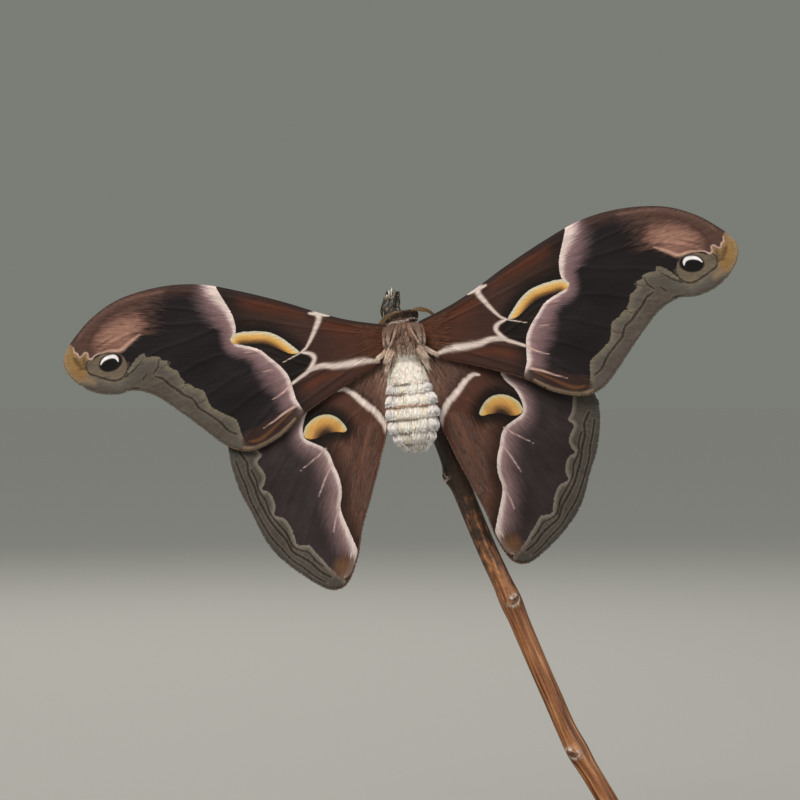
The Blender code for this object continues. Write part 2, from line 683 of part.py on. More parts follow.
def perch():
    """The cut length of twig, with its bud scars and its broken top."""
    bark = material("twig_bark", (0.10, 0.05, 0.025), 0.85)
    draw = random.Random(3)
    line = curve([(x, 0.0, z) for x, z in TWIG_LINE], 5.0)
    radii = []
    for point in line:
        swell = sum(0.25 * math.exp(-(((point.z - z) / 2.5) ** 2)) for z, _ in TWIG_BUDS)
        worn = max(0.0, (point.z - 120.5) / 2.7) * 0.6
        radii.append(TWIG_RADIUS + swell - worn)
    made = node("perch_twig", tube(line, radii, TWIG_SIDES), bark)
    extra = []
    for z, turn in TWIG_BUDS:
        way = Vector((math.sin(math.radians(turn)), -math.cos(math.radians(turn)), 0))
        halves = (BUD_RADIUS, BUD_RADIUS * 0.8, BUD_RADIUS)
        extra.append(ball(twig_at(z) + way * (TWIG_RADIUS - 0.25), halves, 8, 5))
    top = line[0]
    for x, y, height in SPLINTERS:
        foot = top + Vector((x, y, -0.6))
        lean = Vector((x * draw.uniform(0.3, 0.6), y * 0.3, 0))
        path = [foot, foot + lean * 0.5 + Vector((0, 0, 0.8)), foot + lean + Vector((0, 0, 0.6 + height))]
        extra.append(lock(path, (0.9, 0.7), (0.6, 0.5), Vector((1, 0, 0)), 5))
    fuse(made, extra, "UNION")


def turned(profile, sides):
    """A closed turned form about the z axis from (radius, height) points, first and last on the axis."""
    bm = bmesh.new()
    points = [bm.verts.new((r, 0.0, z)) for r, z in profile]
    edges = [bm.edges.new(pair) for pair in zip(points, points[1:])]
    bmesh.ops.spin(
        bm, geom=[*points, *edges], axis=(0, 0, 1), cent=(0, 0, 0),
        angle=2 * math.pi, steps=sides, use_merge=True,
    )
    bmesh.ops.remove_doubles(bm, verts=bm.verts, dist=1e-4)
    return bm


def stand():
    """A chamfered wooden base, and a steel rod with a cup for the twig's foot."""
    wood = material("stand_wood", (0.16, 0.08, 0.04), 0.45)
    steel = material("stand_steel", (0.62, 0.62, 0.62), 0.3, 1.0)

    bm = bmesh.new()
    bmesh.ops.create_cube(bm, size=1.0)
    bmesh.ops.scale(bm, vec=BASE_SIZE, verts=bm.verts)
    bmesh.ops.translate(bm, vec=(0, 0, BASE_SIZE[2] / 2), verts=bm.verts)
    upright = [e for e in bm.edges if abs(e.verts[0].co.z - e.verts[1].co.z) > 1]
    bmesh.ops.bevel(
        bm, geom=upright, offset=BASE_CORNER, segments=6, profile=0.5, affect="EDGES", material=-1
    )
    rim = [e for e in bm.edges if min(v.co.z for v in e.verts) > BASE_SIZE[2] - 0.01]
    bmesh.ops.bevel(bm, geom=rim, offset=BASE_CHAMFER, segments=1, profile=0.5, affect="EDGES", material=-1)
    node("stand_base", bm, wood, smooth_angle=30.0)

    foot = Vector((TWIG_LINE[-1][0], 0.0, TWIG_LINE[-1][1]))
    along = (Vector((TWIG_LINE[-2][0], 0.0, TWIG_LINE[-2][1])) - foot).normalized()
    bore = TWIG_RADIUS + GAP
    outer = bore + CUP_WALL
    floor = BASE_SIZE[2] + GAP
    rod = turned(
        [(0.0, floor), (FOOT_RADIUS, floor), (FOOT_RADIUS, floor + FOOT_HEIGHT * 0.6),
         (FOOT_RADIUS - 0.5, floor + FOOT_HEIGHT), (ROD_RADIUS, floor + FOOT_HEIGHT),
         (ROD_RADIUS, foot.z), (0.0, foot.z)], 16
    )
    bmesh.ops.translate(rod, vec=(foot.x, 0, 0), verts=rod.verts)
    made = node("stand_rod", rod, steel)
    lean = Vector((0, 0, 1)).rotation_difference(along).to_matrix().to_4x4()

    def along_twig(profile):
        bm = turned(profile, 16)
        bmesh.ops.transform(bm, matrix=Matrix.Translation(foot) @ lean, verts=bm.verts)
        return bm

    low = -GAP - CUP_WALL
    rim = [(outer, CUP_DEPTH), (0.0, CUP_DEPTH)]
    cup = along_twig([(0.0, low), (outer - 0.4, low), (outer, low + 0.4), *rim])
    fuse(made, [cup], "UNION")
    top = CUP_DEPTH + 2
    fuse(made, [along_twig([(0.0, -GAP), (bore, -GAP), (bore, top), (0.0, top)])], "DIFFERENCE")


def main():
    clear_scene()
    moth = bpy.data.objects.new("moth", None)
    bpy.context.scene.collection.objects.link(moth)
    moth.location = Vector(BODY_PLACE) * MM
    moth.rotation_euler = body_turn()
    thorax(moth)
    abdomen(moth)
    head(moth)
    antennae(moth)
    wings(moth)
    legs(moth)
    perch()
    stand()


main()
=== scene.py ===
import math

import bmesh
import bpy
import numpy as np
from mathutils import Matrix, Vector


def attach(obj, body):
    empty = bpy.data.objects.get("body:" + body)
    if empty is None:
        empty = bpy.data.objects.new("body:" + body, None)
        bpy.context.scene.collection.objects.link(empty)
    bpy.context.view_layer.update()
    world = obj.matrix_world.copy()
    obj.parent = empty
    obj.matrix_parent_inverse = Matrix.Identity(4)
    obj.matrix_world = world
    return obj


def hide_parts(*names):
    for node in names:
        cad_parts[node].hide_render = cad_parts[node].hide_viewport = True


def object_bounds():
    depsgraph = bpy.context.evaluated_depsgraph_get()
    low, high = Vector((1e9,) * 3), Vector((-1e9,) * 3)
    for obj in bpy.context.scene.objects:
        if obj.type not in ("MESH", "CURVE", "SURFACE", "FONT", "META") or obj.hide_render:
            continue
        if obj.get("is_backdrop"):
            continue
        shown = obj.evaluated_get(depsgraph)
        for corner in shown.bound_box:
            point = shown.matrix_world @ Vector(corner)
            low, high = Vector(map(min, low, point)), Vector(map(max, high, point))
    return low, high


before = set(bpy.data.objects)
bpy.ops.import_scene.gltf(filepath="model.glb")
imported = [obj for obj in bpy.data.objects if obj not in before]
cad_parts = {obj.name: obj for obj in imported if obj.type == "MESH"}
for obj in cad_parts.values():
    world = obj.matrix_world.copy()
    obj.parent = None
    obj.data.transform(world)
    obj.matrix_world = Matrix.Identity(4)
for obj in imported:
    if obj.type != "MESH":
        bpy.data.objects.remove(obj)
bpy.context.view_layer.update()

# The room: a wide matt floor in pale warm grey, a plain sky of the same tone, and soft light from large
# panels. The camera has the photograph's place, level with the moth's shoulders and square to its back.
MM = 0.001
CAMERA_PLACE = Vector((-18.7, -450.0, 103.5))  # mm
VIEW_MIDDLE = Vector((-18.7, -8.5, 103.5))  # mm, at the moth, where the view is VIEW_WIDTH across
VIEW_WIDTH = 148.0
SENSOR = 36.0
NEAREST, FARTHEST = 0.02, 60.0  # metres, what the camera sees between
FLOOR_RADIUS = 30000.0
FLOOR_COLOUR = "#9a9994"
SKY_COLOUR = "#7b7d77"
SUN_WAY, SUN_STRENGTH, SUN_WIDTH = (-0.5, -0.7, 0.8), 1.75, 28.0  # the way to it, W/m2, and degrees across
PANELS = (  # place in mm, edge in mm, watts, colour
    ((-420.0, -760.0, 820.0), 620.0, 6.5, "#fff9f0"),
    ((760.0, -560.0, 420.0), 700.0, 3.2, "#f4f7ff"),
    ((-160.0, 700.0, 700.0), 600.0, 4.0, "#fffaf4"),
)


def colour(text):
    """An sRGB hex value as the linear colour that a shader takes."""
    parts = [int(text[i : i + 2], 16) / 255 for i in (1, 3, 5)]
    return (*[c / 12.92 if c <= 0.04045 else ((c + 0.055) / 1.055) ** 2.4 for c in parts], 1.0)


def add(tree, kind, settings, inputs):
    """Adds a node with its settings. An input takes a value, or a link where a socket is given."""
    made = tree.nodes.new(kind)
    for name, value in settings.items():
        setattr(made, name, value)
    for key, value in inputs.items():
        if isinstance(value, bpy.types.NodeSocket):
            tree.links.new(value, made.inputs[key])
        else:
            made.inputs[key].default_value = value
    return made


def finish(name, roughness):
    """A new material, its node tree and its shader."""
    made = bpy.data.materials.new(name)
    made.use_nodes = True
    shader = made.node_tree.nodes["Principled BSDF"]
    shader.inputs["Roughness"].default_value = roughness
    return made, made.node_tree, shader


def put(name, data):
    """A new object in the scene from its mesh, light or camera."""
    made = bpy.data.objects.new(name, data)
    bpy.context.scene.collection.objects.link(made)
    return made


def object_of(name, mesh, material):
    """A new object from a mesh in metres."""
    mesh.materials.append(material)
    return put(name, mesh)


def mesh_of(name, bm):
    """A smooth mesh from a finished bmesh."""
    mesh = bpy.data.meshes.new(name)
    bm.to_mesh(mesh)
    bm.free()
    mesh.shade_smooth()
    return mesh


floor_paint, tree, shader = finish("matt_floor_paint", 0.9)
shader.inputs["Base Color"].default_value = colour(FLOOR_COLOUR)
bm = bmesh.new()
bmesh.ops.create_circle(bm, cap_ends=True, segments=96, radius=FLOOR_RADIUS * MM)
object_of("floor", mesh_of("floor", bm), floor_paint)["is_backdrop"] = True

for place, edge, watts, tint in PANELS:
    light = bpy.data.lights.new("panel", "AREA")
    light.size = edge * MM
    light.energy = watts
    light.color = colour(tint)[:3]
    panel = put("panel", light)
    panel.location = Vector(place) * MM
    panel.rotation_euler = (Vector(place) - VIEW_MIDDLE).to_track_quat("Z", "Y").to_euler()

light = bpy.data.lights.new("sun", "SUN")
light.energy = SUN_STRENGTH
light.angle = math.radians(SUN_WIDTH)
put("sun", light).rotation_euler = Vector(SUN_WAY).to_track_quat("Z", "Y").to_euler()

world = bpy.data.worlds.new("sky")
bpy.context.scene.world = world
world.use_nodes = True
world.node_tree.nodes["Background"].inputs["Color"].default_value = colour(SKY_COLOUR)

lens = bpy.data.cameras.new("camera")
lens.sensor_width = SENSOR
lens.lens = SENSOR / VIEW_WIDTH * (VIEW_MIDDLE - CAMERA_PLACE).length
lens.clip_start = NEAREST
lens.clip_end = FARTHEST
camera = put("camera", lens)
camera.location = CAMERA_PLACE * MM
camera.rotation_euler = (math.radians(90), 0, 0)
bpy.context.scene.camera = camera
bpy.context.scene.view_settings.view_transform = "Standard"

# The moth's body has a frame of its own, in millimetres: x runs to its right, y to its belly and z to its
# head, from the middle of the thorax. The body leans a little to the left, and every piece leans with it.
BODY_PLACE = (-18.0, -8.5, 115.0)
BODY_LEAN = 6.0  # degrees
BODY = Matrix.Translation(BODY_PLACE) @ Matrix.Rotation(math.radians(-BODY_LEAN), 4, "Y")


def in_world(points):
    """Points of the body's frame as metres of the world."""
    turn = np.array(BODY.to_3x3())
    return (np.asarray(points, float) @ turn.T + np.array(BODY.translation)) * MM


def settle(piece, slot, *nodes):
    """The piece rides on the model's one body and stands for its nodes; its slot argument is not used."""
    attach(piece, "root")
    if nodes:
        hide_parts(*nodes)
    return piece


# The wings: two pairs of stiff sheets that veins hold up, hinged on the thorax's sides, the forewings over
# the hindwings. Fine scales cover them, and their colours make the pattern: a white line with lilac dust
# across each wing, a yellow crescent, an eyespot at the forewing's tip and a grey border of wavy lines.
WING_REACH = 62.0
WING_DROOP = {"left": 5.0, "right": -1.0}  # how far a wing's tip lies towards the belly, at the full reach
DROOP_POWER = 2.2
TILT_POWER = 1.5
WING_ROOT = 2.6  # where the sheets end, beside the body
ABDOMEN_SIDE = (  # height, and the half width that the sheets keep clear of
    (-20.3, 1.2), (-19.2, 2.6), (-17.4, 3.7), (-15.2, 4.2), (-12.4, 4.1), (-9.6, 3.6), (-6.8, 2.8),
    (-4.4, 2.1),
)
WING_HALF = 0.14  # half the sheet's thickness
EDGE_THINS = 0.5  # over this width the sheet thins out to its edge
VEIN_RISE = 0.12
VEIN_HALF_WIDTH = 0.38
VEIN_FADES = 0.8  # a vein sinks into the sheet over this width beside the edge
WAVE = 0.16  # the sheet's gentle waves
CELLS_ALONG = 250
CELLS_ACROSS = 94
FORE = {
    "hinge": (3.65, 0.6), "plane": -0.55, "raise": {"left": -3.3, "right": 4.4},
    "tilt": {"left": 0.0, "right": 0.0}, "tuck": 0.0, "heart": (-3.0, 2.0),
    "edge": (
        (-1.0, 2.0), (5.7, 4.0), (10.9, 6.2), (17.2, 9.3), (24.9, 12.6), (32.1, 15.1), (39.5, 15.9),
        (47.3, 15.0), (52.8, 12.6), (56.9, 9.4), (59.3, 6.6), (59.6, 3.9), (57.9, 1.0), (54.8, -1.3),
        (51.0, -2.3), (47.5, -2.1), (43.6, -3.7), (39.6, -7.3), (36.3, -10.6), (33.1, -14.0), (30.3, -16.1),
        (27.0, -16.7), (21.9, -15.0), (16.8, -11.6), (9.5, -8.1), (-1.0, -3.9),
    ),
    "tip": 11,  # which of the edge's points the two edges meet at
    "front": 11,  # how many of the crescent's points its golden rim runs along
    "veins": (
        ((0.8, 1.5), (7.5, 3.7), (14.5, 6.7), (22.4, 9.9), (31.3, 13.2), (38.0, 14.8)),
        ((0.8, 0.4), (7.7, 2.2), (14.9, 4.3), (23.7, 7.3), (32.6, 10.2), (41.7, 12.3), (49.2, 11.8)),
        ((23.7, 7.3), (33.0, 8.0), (42.2, 8.8), (50.0, 7.2), (56.0, 3.6)),
        ((27.0, 7.5), (35.3, 5.4), (43.0, 3.9), (48.9, 0.1)),
        ((18.5, -1.1), (22.4, 1.0), (31.2, 1.5), (39.1, -0.7), (43.5, -2.0)),
        ((18.5, -1.1), (27.2, -2.5), (34.3, -5.6), (37.6, -6.6)),
        ((13.3, -3.3), (23.6, -5.9), (30.2, -9.3), (33.7, -11.2)),
        ((7.6, -2.9), (18.5, -6.7), (24.5, -11.0), (28.6, -14.8)),
        ((0.8, -0.7), (7.6, -2.9), (13.3, -3.3), (18.5, -1.1)),
        ((0.8, -2.1), (9.0, -5.8), (17.2, -9.9), (24.0, -14.2)),
    ),
}
HIND = {
    "hinge": (3.25, -3.2), "plane": 0.6, "raise": {"left": -0.5, "right": 0.5},
    "tilt": {"left": 0.0, "right": 6.0}, "tuck": 1.3, "heart": (0.0, 2.0),
    "edge": (
        (-0.6, 0.9), (9.0, 0.2), (18.6, -2.2), (26.2, -6.2), (30.5, -10.6), (31.2, -14.8), (30.2, -20.9),
        (28.3, -25.8), (26.1, -31.5), (23.2, -35.5), (18.3, -39.8), (15.0, -41.6), (12.2, -40.6),
        (9.9, -36.1), (8.4, -30.8), (5.9, -24.6), (3.6, -18.5), (2.7, -14.5), (2.4, -11.0), (1.9, -7.5),
        (0.9, -4.4), (-0.6, -2.4),
    ),
    "tip": 5,
    "front": 9,
    "veins": (
        ((0.8, -0.5), (9.4, -2.5), (17.2, -5.5), (24.7, -9.1), (29.4, -12.6)),
        ((9.4, -2.5), (11.8, -6.9), (17.8, -10.6), (24.3, -15.1), (29.0, -19.2)),
        ((11.8, -6.9), (17.4, -12.2), (22.4, -18.3), (27.2, -25.2)),
        ((14.0, -9.8), (15.9, -13.8), (20.7, -23.0), (24.9, -31.0)),
        ((6.0, -9.0), (9.5, -11.8), (13.6, -19.7), (18.1, -29.4), (20.2, -36.5)),
        ((1.4, -1.9), (6.0, -9.0), (8.8, -16.5), (13.4, -29.0), (16.0, -39.2)),
        ((1.4, -1.9), (4.9, -12.0), (8.6, -24.0), (11.3, -33.9), (12.9, -38.8)),
    ),
}
HIND_LENGTH = 41.6

# The pattern's lines and patches, in the wing's flat frame: out from the hinge, and forward. A line's third
# number is its width in mm. The white line's fourth number is how far its lilac dust reaches.
FORE_LINES = {
    "white": (
        (28.4, 16.3, 3.5, 1.2), (28.9, 15.0, 3.4, 1.3), (29.2, 14.1, 3.1, 1.7), (28.6, 12.4, 2.5, 2.5),
        (27.7, 10.3, 1.8, 3.2), (27.0, 8.3, 1.5, 3.2), (26.8, 6.6, 1.3, 3.0), (26.9, 5.4, 0.9, 2.6),
        (27.3, 4.3, 0.6, 2.2), (27.2, 3.2, 0.7, 1.9), (26.3, 2.8, 0.8, 1.8), (25.0, 2.3, 0.8, 2.0),
        (23.0, 1.3, 0.8, 2.6), (21.5, -0.3, 0.9, 3.3), (19.9, -2.1, 1.0, 3.9), (18.7, -4.0, 1.1, 4.1),
        (18.3, -5.6, 1.2, 3.6), (18.1, -7.1, 1.2, 2.9), (17.9, -8.6, 1.3, 2.6), (17.2, -10.4, 1.4, 2.6),
        (16.8, -11.6, 1.5, 2.6), (16.4, -13.6, 1.6, 2.6),
    ),
    "bands": (
        ((13.0, 6.5, 0.4), (11.3, 6.1, 0.9), (9.4, 5.5, 0.4)),
        (
            (11.5, 6.4, 1.3), (11.3, 5.3, 1.1), (12.0, 3.9, 0.9), (13.2, 2.0, 0.7), (14.4, 0.4, 0.5),
            (15.4, -0.3, 0.4),
        ),
        ((15.0, -0.1, 0.4), (16.1, -0.6, 0.3), (17.5, -1.1, 0.25), (19.2, -1.7, 0.2)),
        (
            (15.3, -0.5, 0.4), (14.2, -0.8, 0.7), (13.4, -1.4, 0.9), (13.4, -2.2, 0.8), (14.2, -3.3, 0.7),
            (15.2, -4.3, 0.7), (16.6, -5.0, 0.6), (18.1, -5.8, 0.5),
        ),
        (
            (15.2, -4.2, 0.5), (13.7, -3.7, 0.8), (11.9, -3.5, 1.0), (9.8, -3.9, 1.2), (6.6, -3.9, 1.4),
            (4.4, -3.8, 1.3), (2.7, -4.1, 0.9), (1.6, -4.5, 0.5),
        ),
    ),
    "glow": (  # where the brown is warmest
        ((1.5, 1.6, 4.0), (5.0, 2.4, 5.5), (9.5, 3.6, 4.5), (11.0, 3.4, 2.0)),
        ((14.0, 6.4, 2.5), (19.0, 8.6, 4.6), (25.0, 10.6, 3.4)),
        ((9.0, -5.4, 1.6), (13.0, -6.0, 3.0), (16.5, -7.4, 3.4)),
    ),
    "dark": (
        (
            (43.1, -0.4, 0.4), (41.7, -1.1, 0.5), (40.6, -2.5, 0.5), (39.5, -3.4, 0.6), (38.4, -4.6, 0.5),
            (36.8, -5.7, 0.5), (36.0, -7.4, 0.5), (34.9, -8.4, 0.45), (33.7, -9.5, 0.4), (32.4, -10.8, 0.5),
            (31.2, -12.5, 0.5), (29.8, -13.4, 0.4),
        ),
        ((41.9, 2.7, 0.3), (42.4, 1.2, 0.4), (43.4, 0.2, 0.35)),
        ((41.8, 0.9, 0.3), (40.6, 1.4, 0.3), (40.0, 1.8, 0.2)),
        ((45.6, -0.8, 0.3), (45.2, -0.3, 0.45), (44.4, 0.4, 0.3)),
        ((49.1, -2.2, 0.2), (47.8, -1.95, 0.35), (46.2, -2.0, 0.3)),
        ((40.5, -6.9, 0.3), (39.4, -7.7, 0.6), (38.2, -8.6, 0.4)),
        (
            (54.7, 5.0, 0.2), (55.6, 4.1, 0.3), (55.7, 3.2, 0.3), (55.3, 2.1, 0.35), (53.8, 1.4, 0.4),
            (51.6, 0.3, 0.4), (50.0, 0.1, 0.4), (48.8, 0.8, 0.4), (48.1, 1.8, 0.3), (47.7, 3.0, 0.2),
        ),
        ((44.6, 3.5, 0.25), (45.8, 2.3, 0.35), (47.0, 1.4, 0.4), (48.0, 0.8, 0.4), (48.8, 0.4, 0.3)),
        ((37.3, -2.9, 0.2), (38.2, -3.2, 0.3), (38.9, -3.9, 0.2)),
        ((34.3, -6.0, 0.2), (35.2, -6.5, 0.3), (35.8, -6.8, 0.2)),
        ((32.4, -8.9, 0.2), (33.2, -9.3, 0.3)),
    ),
    "pale": (
        (
            (57.6, 7.5, 0.2), (57.5, 6.5, 0.3), (57.0, 6.2, 0.3), (56.8, 5.5, 0.3), (56.2, 5.6, 0.25),
            (55.7, 6.1, 0.3), (55.1, 6.0, 0.3), (55.1, 5.0, 0.3), (54.4, 4.8, 0.35), (53.8, 5.3, 0.25),
            (52.7, 5.6, 0.25),
        ),
        ((18.4, -10.1, 0.5), (20.5, -11.0, 0.4), (22.3, -12.0, 0.3), (24.7, -13.1, 0.2)),
        ((18.5, -6.1, 0.4), (20.3, -7.3, 0.3), (22.3, -8.2, 0.15)),
        ((21.2, -2.6, 0.1), (22.4, -2.8, 0.25), (23.8, -2.9, 0.1)),
        ((23.6, 0.9, 0.1), (25.2, 1.2, 0.2), (27.4, 1.3, 0.1)),
    ),
    # a pale pink line along the lower edge of the apex's pink: painted highlight
    "rim": (
        (
            (52.7, 5.55, 0.3), (50.9, 5.75, 0.45), (49.4, 5.5, 0.6), (48.4, 5.7, 0.7), (47.0, 6.6, 0.6),
            (45.8, 7.25, 0.45), (44.7, 7.8, 0.3),
        ),
    ),
    "shade": (  # the darker streaks along the apex
        (
            (54.9, 6.8, 0.4), (54.2, 8.4, 0.6), (52.9, 9.9, 0.8), (50.6, 11.8, 0.9), (47.2, 13.2, 0.9),
            (43.6, 13.8, 0.6),
        ),
        ((53.4, 6.6, 0.2), (51.6, 7.4, 0.25), (49.4, 8.3, 0.2)),
    ),
    "light": (
        (
            (56.6, 8.8, 0.5), (54.4, 11.0, 0.8), (51.9, 12.8, 0.9), (48.4, 14.2, 0.8), (44.6, 14.8, 0.6),
            (39.0, 15.0, 0.5),
        ),
    ),
    "olive": (
        ((55.9, 5.0, 0.5), (55.9, 4.2, 0.8), (55.9, 3.1, 0.6)),
        ((57.9, 5.6, 0.3), (57.3, 4.6, 0.8), (56.7, 3.4, 0.6)),
    ),
    "sand": (((57.3, 1.8, 1.2), (56.0, 1.2, 1.7), (54.8, 0.4, 1.3)),),
    "ember": (
        ((18.9, -10.8, 0.3), (22.0, -12.9, 0.5), (24.0, -14.2, 0.65), (25.9, -15.1, 0.7), (27.7, -15.1, 0.4)),
    ),
    "buff": (
        (
            (28.9, -16.1, 0.6), (26.9, -16.5, 0.8), (24.4, -16.0, 0.9), (22.1, -14.9, 0.8),
            (20.2, -13.6, 0.6), (18.6, -12.3, 0.4),
        ),
    ),
    "glint": (
        (
            (53.0, 3.4, 0.2), (52.5, 4.05, 0.45), (51.7, 4.5, 0.65), (50.8, 4.65, 0.7), (50.05, 4.5, 0.7),
            (49.65, 4.0, 0.5), (49.55, 3.5, 0.2),
        ),
    ),
}
FORE_PATCHES = {
    "crescent": (
        (28.2, 4.0), (27.9, 4.5), (27.1, 5.0), (26.0, 5.1), (23.7, 4.9), (22.1, 4.6), (20.6, 4.1),
        (18.8, 2.9), (17.5, 1.6), (16.6, 0.6), (15.9, -0.2), (16.5, -0.5), (17.8, -0.2), (19.4, 0.8),
        (20.7, 1.6), (22.8, 2.4), (25.3, 2.7), (27.3, 3.1), (27.9, 3.4),
    ),
    "cell": (
        (19.2, -2.2), (17.6, -1.2), (16.2, -0.8), (15.0, -0.9), (14.1, -1.9), (14.7, -2.9), (16.2, -4.2),
        (17.8, -5.1), (18.5, -4.6),
    ),
    "apex": (
        (58.6, 7.9), (57.6, 7.3), (57.4, 6.4), (57.0, 6.1), (56.7, 5.5), (56.2, 5.6), (55.6, 6.1),
        (55.1, 5.9), (55.0, 4.9), (54.4, 4.8), (53.8, 5.3), (52.7, 5.6), (50.9, 5.7), (49.4, 5.4),
        (48.4, 5.6), (47.0, 6.5), (45.8, 7.1), (44.6, 7.6), (40.0, 7.4), (38.0, 12.0), (34.0, 13.8),
        (33.9, 16.9), (41.3, 18.5), (49.1, 17.8), (56.5, 14.3), (60.5, 9.4),
    ),
    # the apex's pink flush: partly the wing's own pink, partly painted highlight that makes it brighter
    "flush_and_highlight": (
        (53.8, 7.2), (52.6, 9.2), (50.2, 10.9), (47.6, 11.6), (44.8, 11.4), (43.6, 9.6), (44.6, 8.2),
        (46.6, 7.0), (48.4, 6.0), (50.9, 6.0), (52.8, 6.0),
    ),
    "tan": (
        (61.8, 8.6), (58.6, 8.4), (57.6, 7.4), (57.5, 6.4), (57.0, 6.2), (56.8, 5.4), (56.2, 5.5),
        (55.6, 6.1), (55.1, 5.9), (55.0, 4.9), (55.7, 4.1), (55.8, 3.2), (55.5, 2.1), (56.4, 1.4),
        (57.6, 0.8), (59.8, 0.5), (62.7, 4.5),
    ),
    "tornus": (
        (18.4, -9.8), (21.3, -10.8), (23.8, -11.9), (26.4, -12.8), (28.4, -13.6), (28.9, -16.9),
        (26.3, -17.9), (22.0, -16.5), (16.0, -12.2),
    ),
    "margin": (
        (55.6, 2.1), (53.8, 1.5), (51.6, 0.4), (50.0, 0.2), (48.8, 0.9), (47.7, 1.8), (46.9, 2.8),
        (46.0, 3.6), (44.4, 4.3), (44.4, 3.4), (43.2, 3.4), (41.7, 3.0), (41.6, 2.4), (40.4, 2.2),
        (40.5, 1.5), (40.0, 0.7), (38.8, -0.1), (38.5, -1.4), (37.8, -2.1), (38.1, -2.8), (37.3, -2.6),
        (36.2, -3.6), (34.6, -4.5), (34.2, -6.0), (33.8, -7.3), (33.4, -7.8), (32.1, -8.9), (29.6, -10.6),
        (29.2, -11.6), (29.0, -13.1), (28.5, -14.8), (27.5, -16.3), (26.0, -19.0), (40.0, -19.0),
        (62.0, -4.0), (60.0, 1.4), (57.0, 1.4),
    ),
    "halo": (
        (55.0, 4.7), (55.6, 3.9), (55.6, 3.1), (55.3, 2.2), (53.8, 1.5), (51.6, 0.4), (50.0, 0.2),
        (48.8, 0.9), (48.1, 1.9), (48.0, 3.1), (48.6, 4.3), (49.6, 5.05), (50.9, 5.3), (52.7, 5.2),
        (54.2, 4.6),
    ),
}
EYESPOT = ((51.0, 3.55), (2.3, 1.6), -14.0)  # middle, half axes, and the turn of its long axis
HIND_LINES = {
    "white": (
        (13.9, -5.6, 0.9, 1.6), (14.7, -7.0, 0.9, 1.7), (16.2, -8.7, 0.9, 1.9), (17.1, -10.9, 0.9, 2.1),
        (17.3, -12.4, 0.9, 2.2), (16.9, -13.4, 0.9, 2.6), (15.7, -14.2, 0.9, 3.1), (14.1, -15.1, 1.0, 3.2),
        (13.0, -16.3, 1.1, 3.3), (12.5, -17.8, 1.1, 3.4), (12.2, -19.0, 1.1, 3.4), (11.6, -20.8, 1.1, 3.4),
        (11.3, -23.0, 1.0, 3.4), (11.5, -24.9, 1.0, 3.3), (11.9, -26.3, 1.0, 3.2), (11.7, -28.2, 1.1, 3.2),
        (10.9, -30.8, 1.3, 3.1), (10.2, -33.1, 1.6, 3.0), (9.7, -35.0, 1.8, 2.6), (10.1, -37.2, 1.9, 1.9),
        (11.7, -39.4, 1.8, 1.6),
    ),
    "bands": (
        (
            (9.9, -5.2, 0.4), (9.1, -5.0, 0.7), (8.3, -5.2, 0.9), (7.2, -6.0, 1.0), (6.2, -7.3, 1.0),
            (5.3, -8.4, 1.1), (4.2, -9.6, 1.1), (3.3, -11.2, 1.0), (2.6, -13.0, 0.9), (2.2, -15.0, 0.6),
        ),
    ),
    "glow": (
        ((9.6, -11.5, 1.6), (10.5, -14.5, 3.0), (9.0, -20.0, 4.5), (9.0, -28.0, 3.0)),
        ((4.6, -12.0, 1.6), (6.0, -18.0, 3.0), (7.6, -26.0, 3.0), (9.0, -32.0, 1.6)),
    ),
    "dark": (
        (
            (29.4, -14.5, 0.5), (28.3, -16.5, 0.5), (28.2, -18.7, 0.5), (27.4, -21.1, 0.5),
            (27.0, -23.1, 0.5), (26.2, -25.3, 0.5), (25.3, -27.5, 0.5), (24.2, -29.3, 0.5),
            (22.7, -31.5, 0.5), (21.7, -33.8, 0.5), (20.0, -35.1, 0.5), (18.4, -36.4, 0.5),
            (16.9, -38.1, 0.5), (15.0, -39.4, 0.4),
        ),
        (
            (30.3, -15.9, 0.4), (29.7, -18.4, 0.4), (29.0, -20.7, 0.4), (28.5, -23.2, 0.4),
            (27.5, -25.9, 0.4), (26.5, -28.3, 0.4), (25.3, -30.8, 0.4), (23.5, -33.3, 0.4),
            (22.0, -35.3, 0.4), (20.0, -37.0, 0.4), (18.0, -38.9, 0.4), (15.9, -40.4, 0.3),
        ),
        (
            (27.6, -18.0, 0.35), (26.9, -20.0, 0.4), (26.7, -21.9, 0.4), (25.6, -23.9, 0.45),
            (25.1, -26.2, 0.4), (23.9, -28.2, 0.4), (22.4, -30.4, 0.45), (21.6, -32.7, 0.4),
            (20.2, -33.8, 0.4), (18.8, -34.3, 0.4), (17.6, -36.0, 0.4), (16.1, -37.4, 0.3),
        ),
    ),
    "pale": (
        ((13.4, -15.6, 0.4), (15.1, -16.9, 0.35), (16.9, -18.0, 0.3), (18.5, -19.1, 0.25)),
        ((12.6, -18.6, 0.4), (13.9, -20.7, 0.35), (15.0, -22.9, 0.3), (15.7, -24.2, 0.25)),
        ((12.3, -27.2, 0.4), (13.2, -29.2, 0.35), (13.7, -31.2, 0.25)),
    ),
}
HIND_PATCHES = {
    "crescent": (
        (17.3, -12.5), (16.9, -11.6), (16.4, -10.8), (15.0, -9.8), (13.6, -9.35), (12.2, -9.35),
        (10.8, -10.0), (9.7, -11.2), (9.1, -12.5), (9.8, -12.9), (11.0, -12.7), (12.9, -12.8), (14.7, -13.4),
        (16.0, -13.5), (16.9, -13.2),
    ),
    "spot": ((10.4, -36.4), (12.2, -35.8), (13.8, -36.6), (14.2, -38.2), (13.0, -39.6), (11.2, -39.0)),
    "margin": (
        (27.0, -9.6), (26.3, -13.7), (25.4, -15.5), (26.3, -16.7), (25.1, -19.3), (25.7, -21.1),
        (26.1, -21.9), (24.7, -22.5), (23.9, -25.0), (24.3, -26.8), (22.5, -27.6), (21.4, -29.6),
        (20.9, -31.9), (20.5, -32.8), (18.4, -33.1), (17.5, -34.5), (16.5, -35.7), (15.2, -37.5),
        (13.9, -39.0), (12.6, -40.2), (12.5, -44.0), (22.0, -44.0), (36.0, -30.0), (36.0, -9.0),
    ),
}


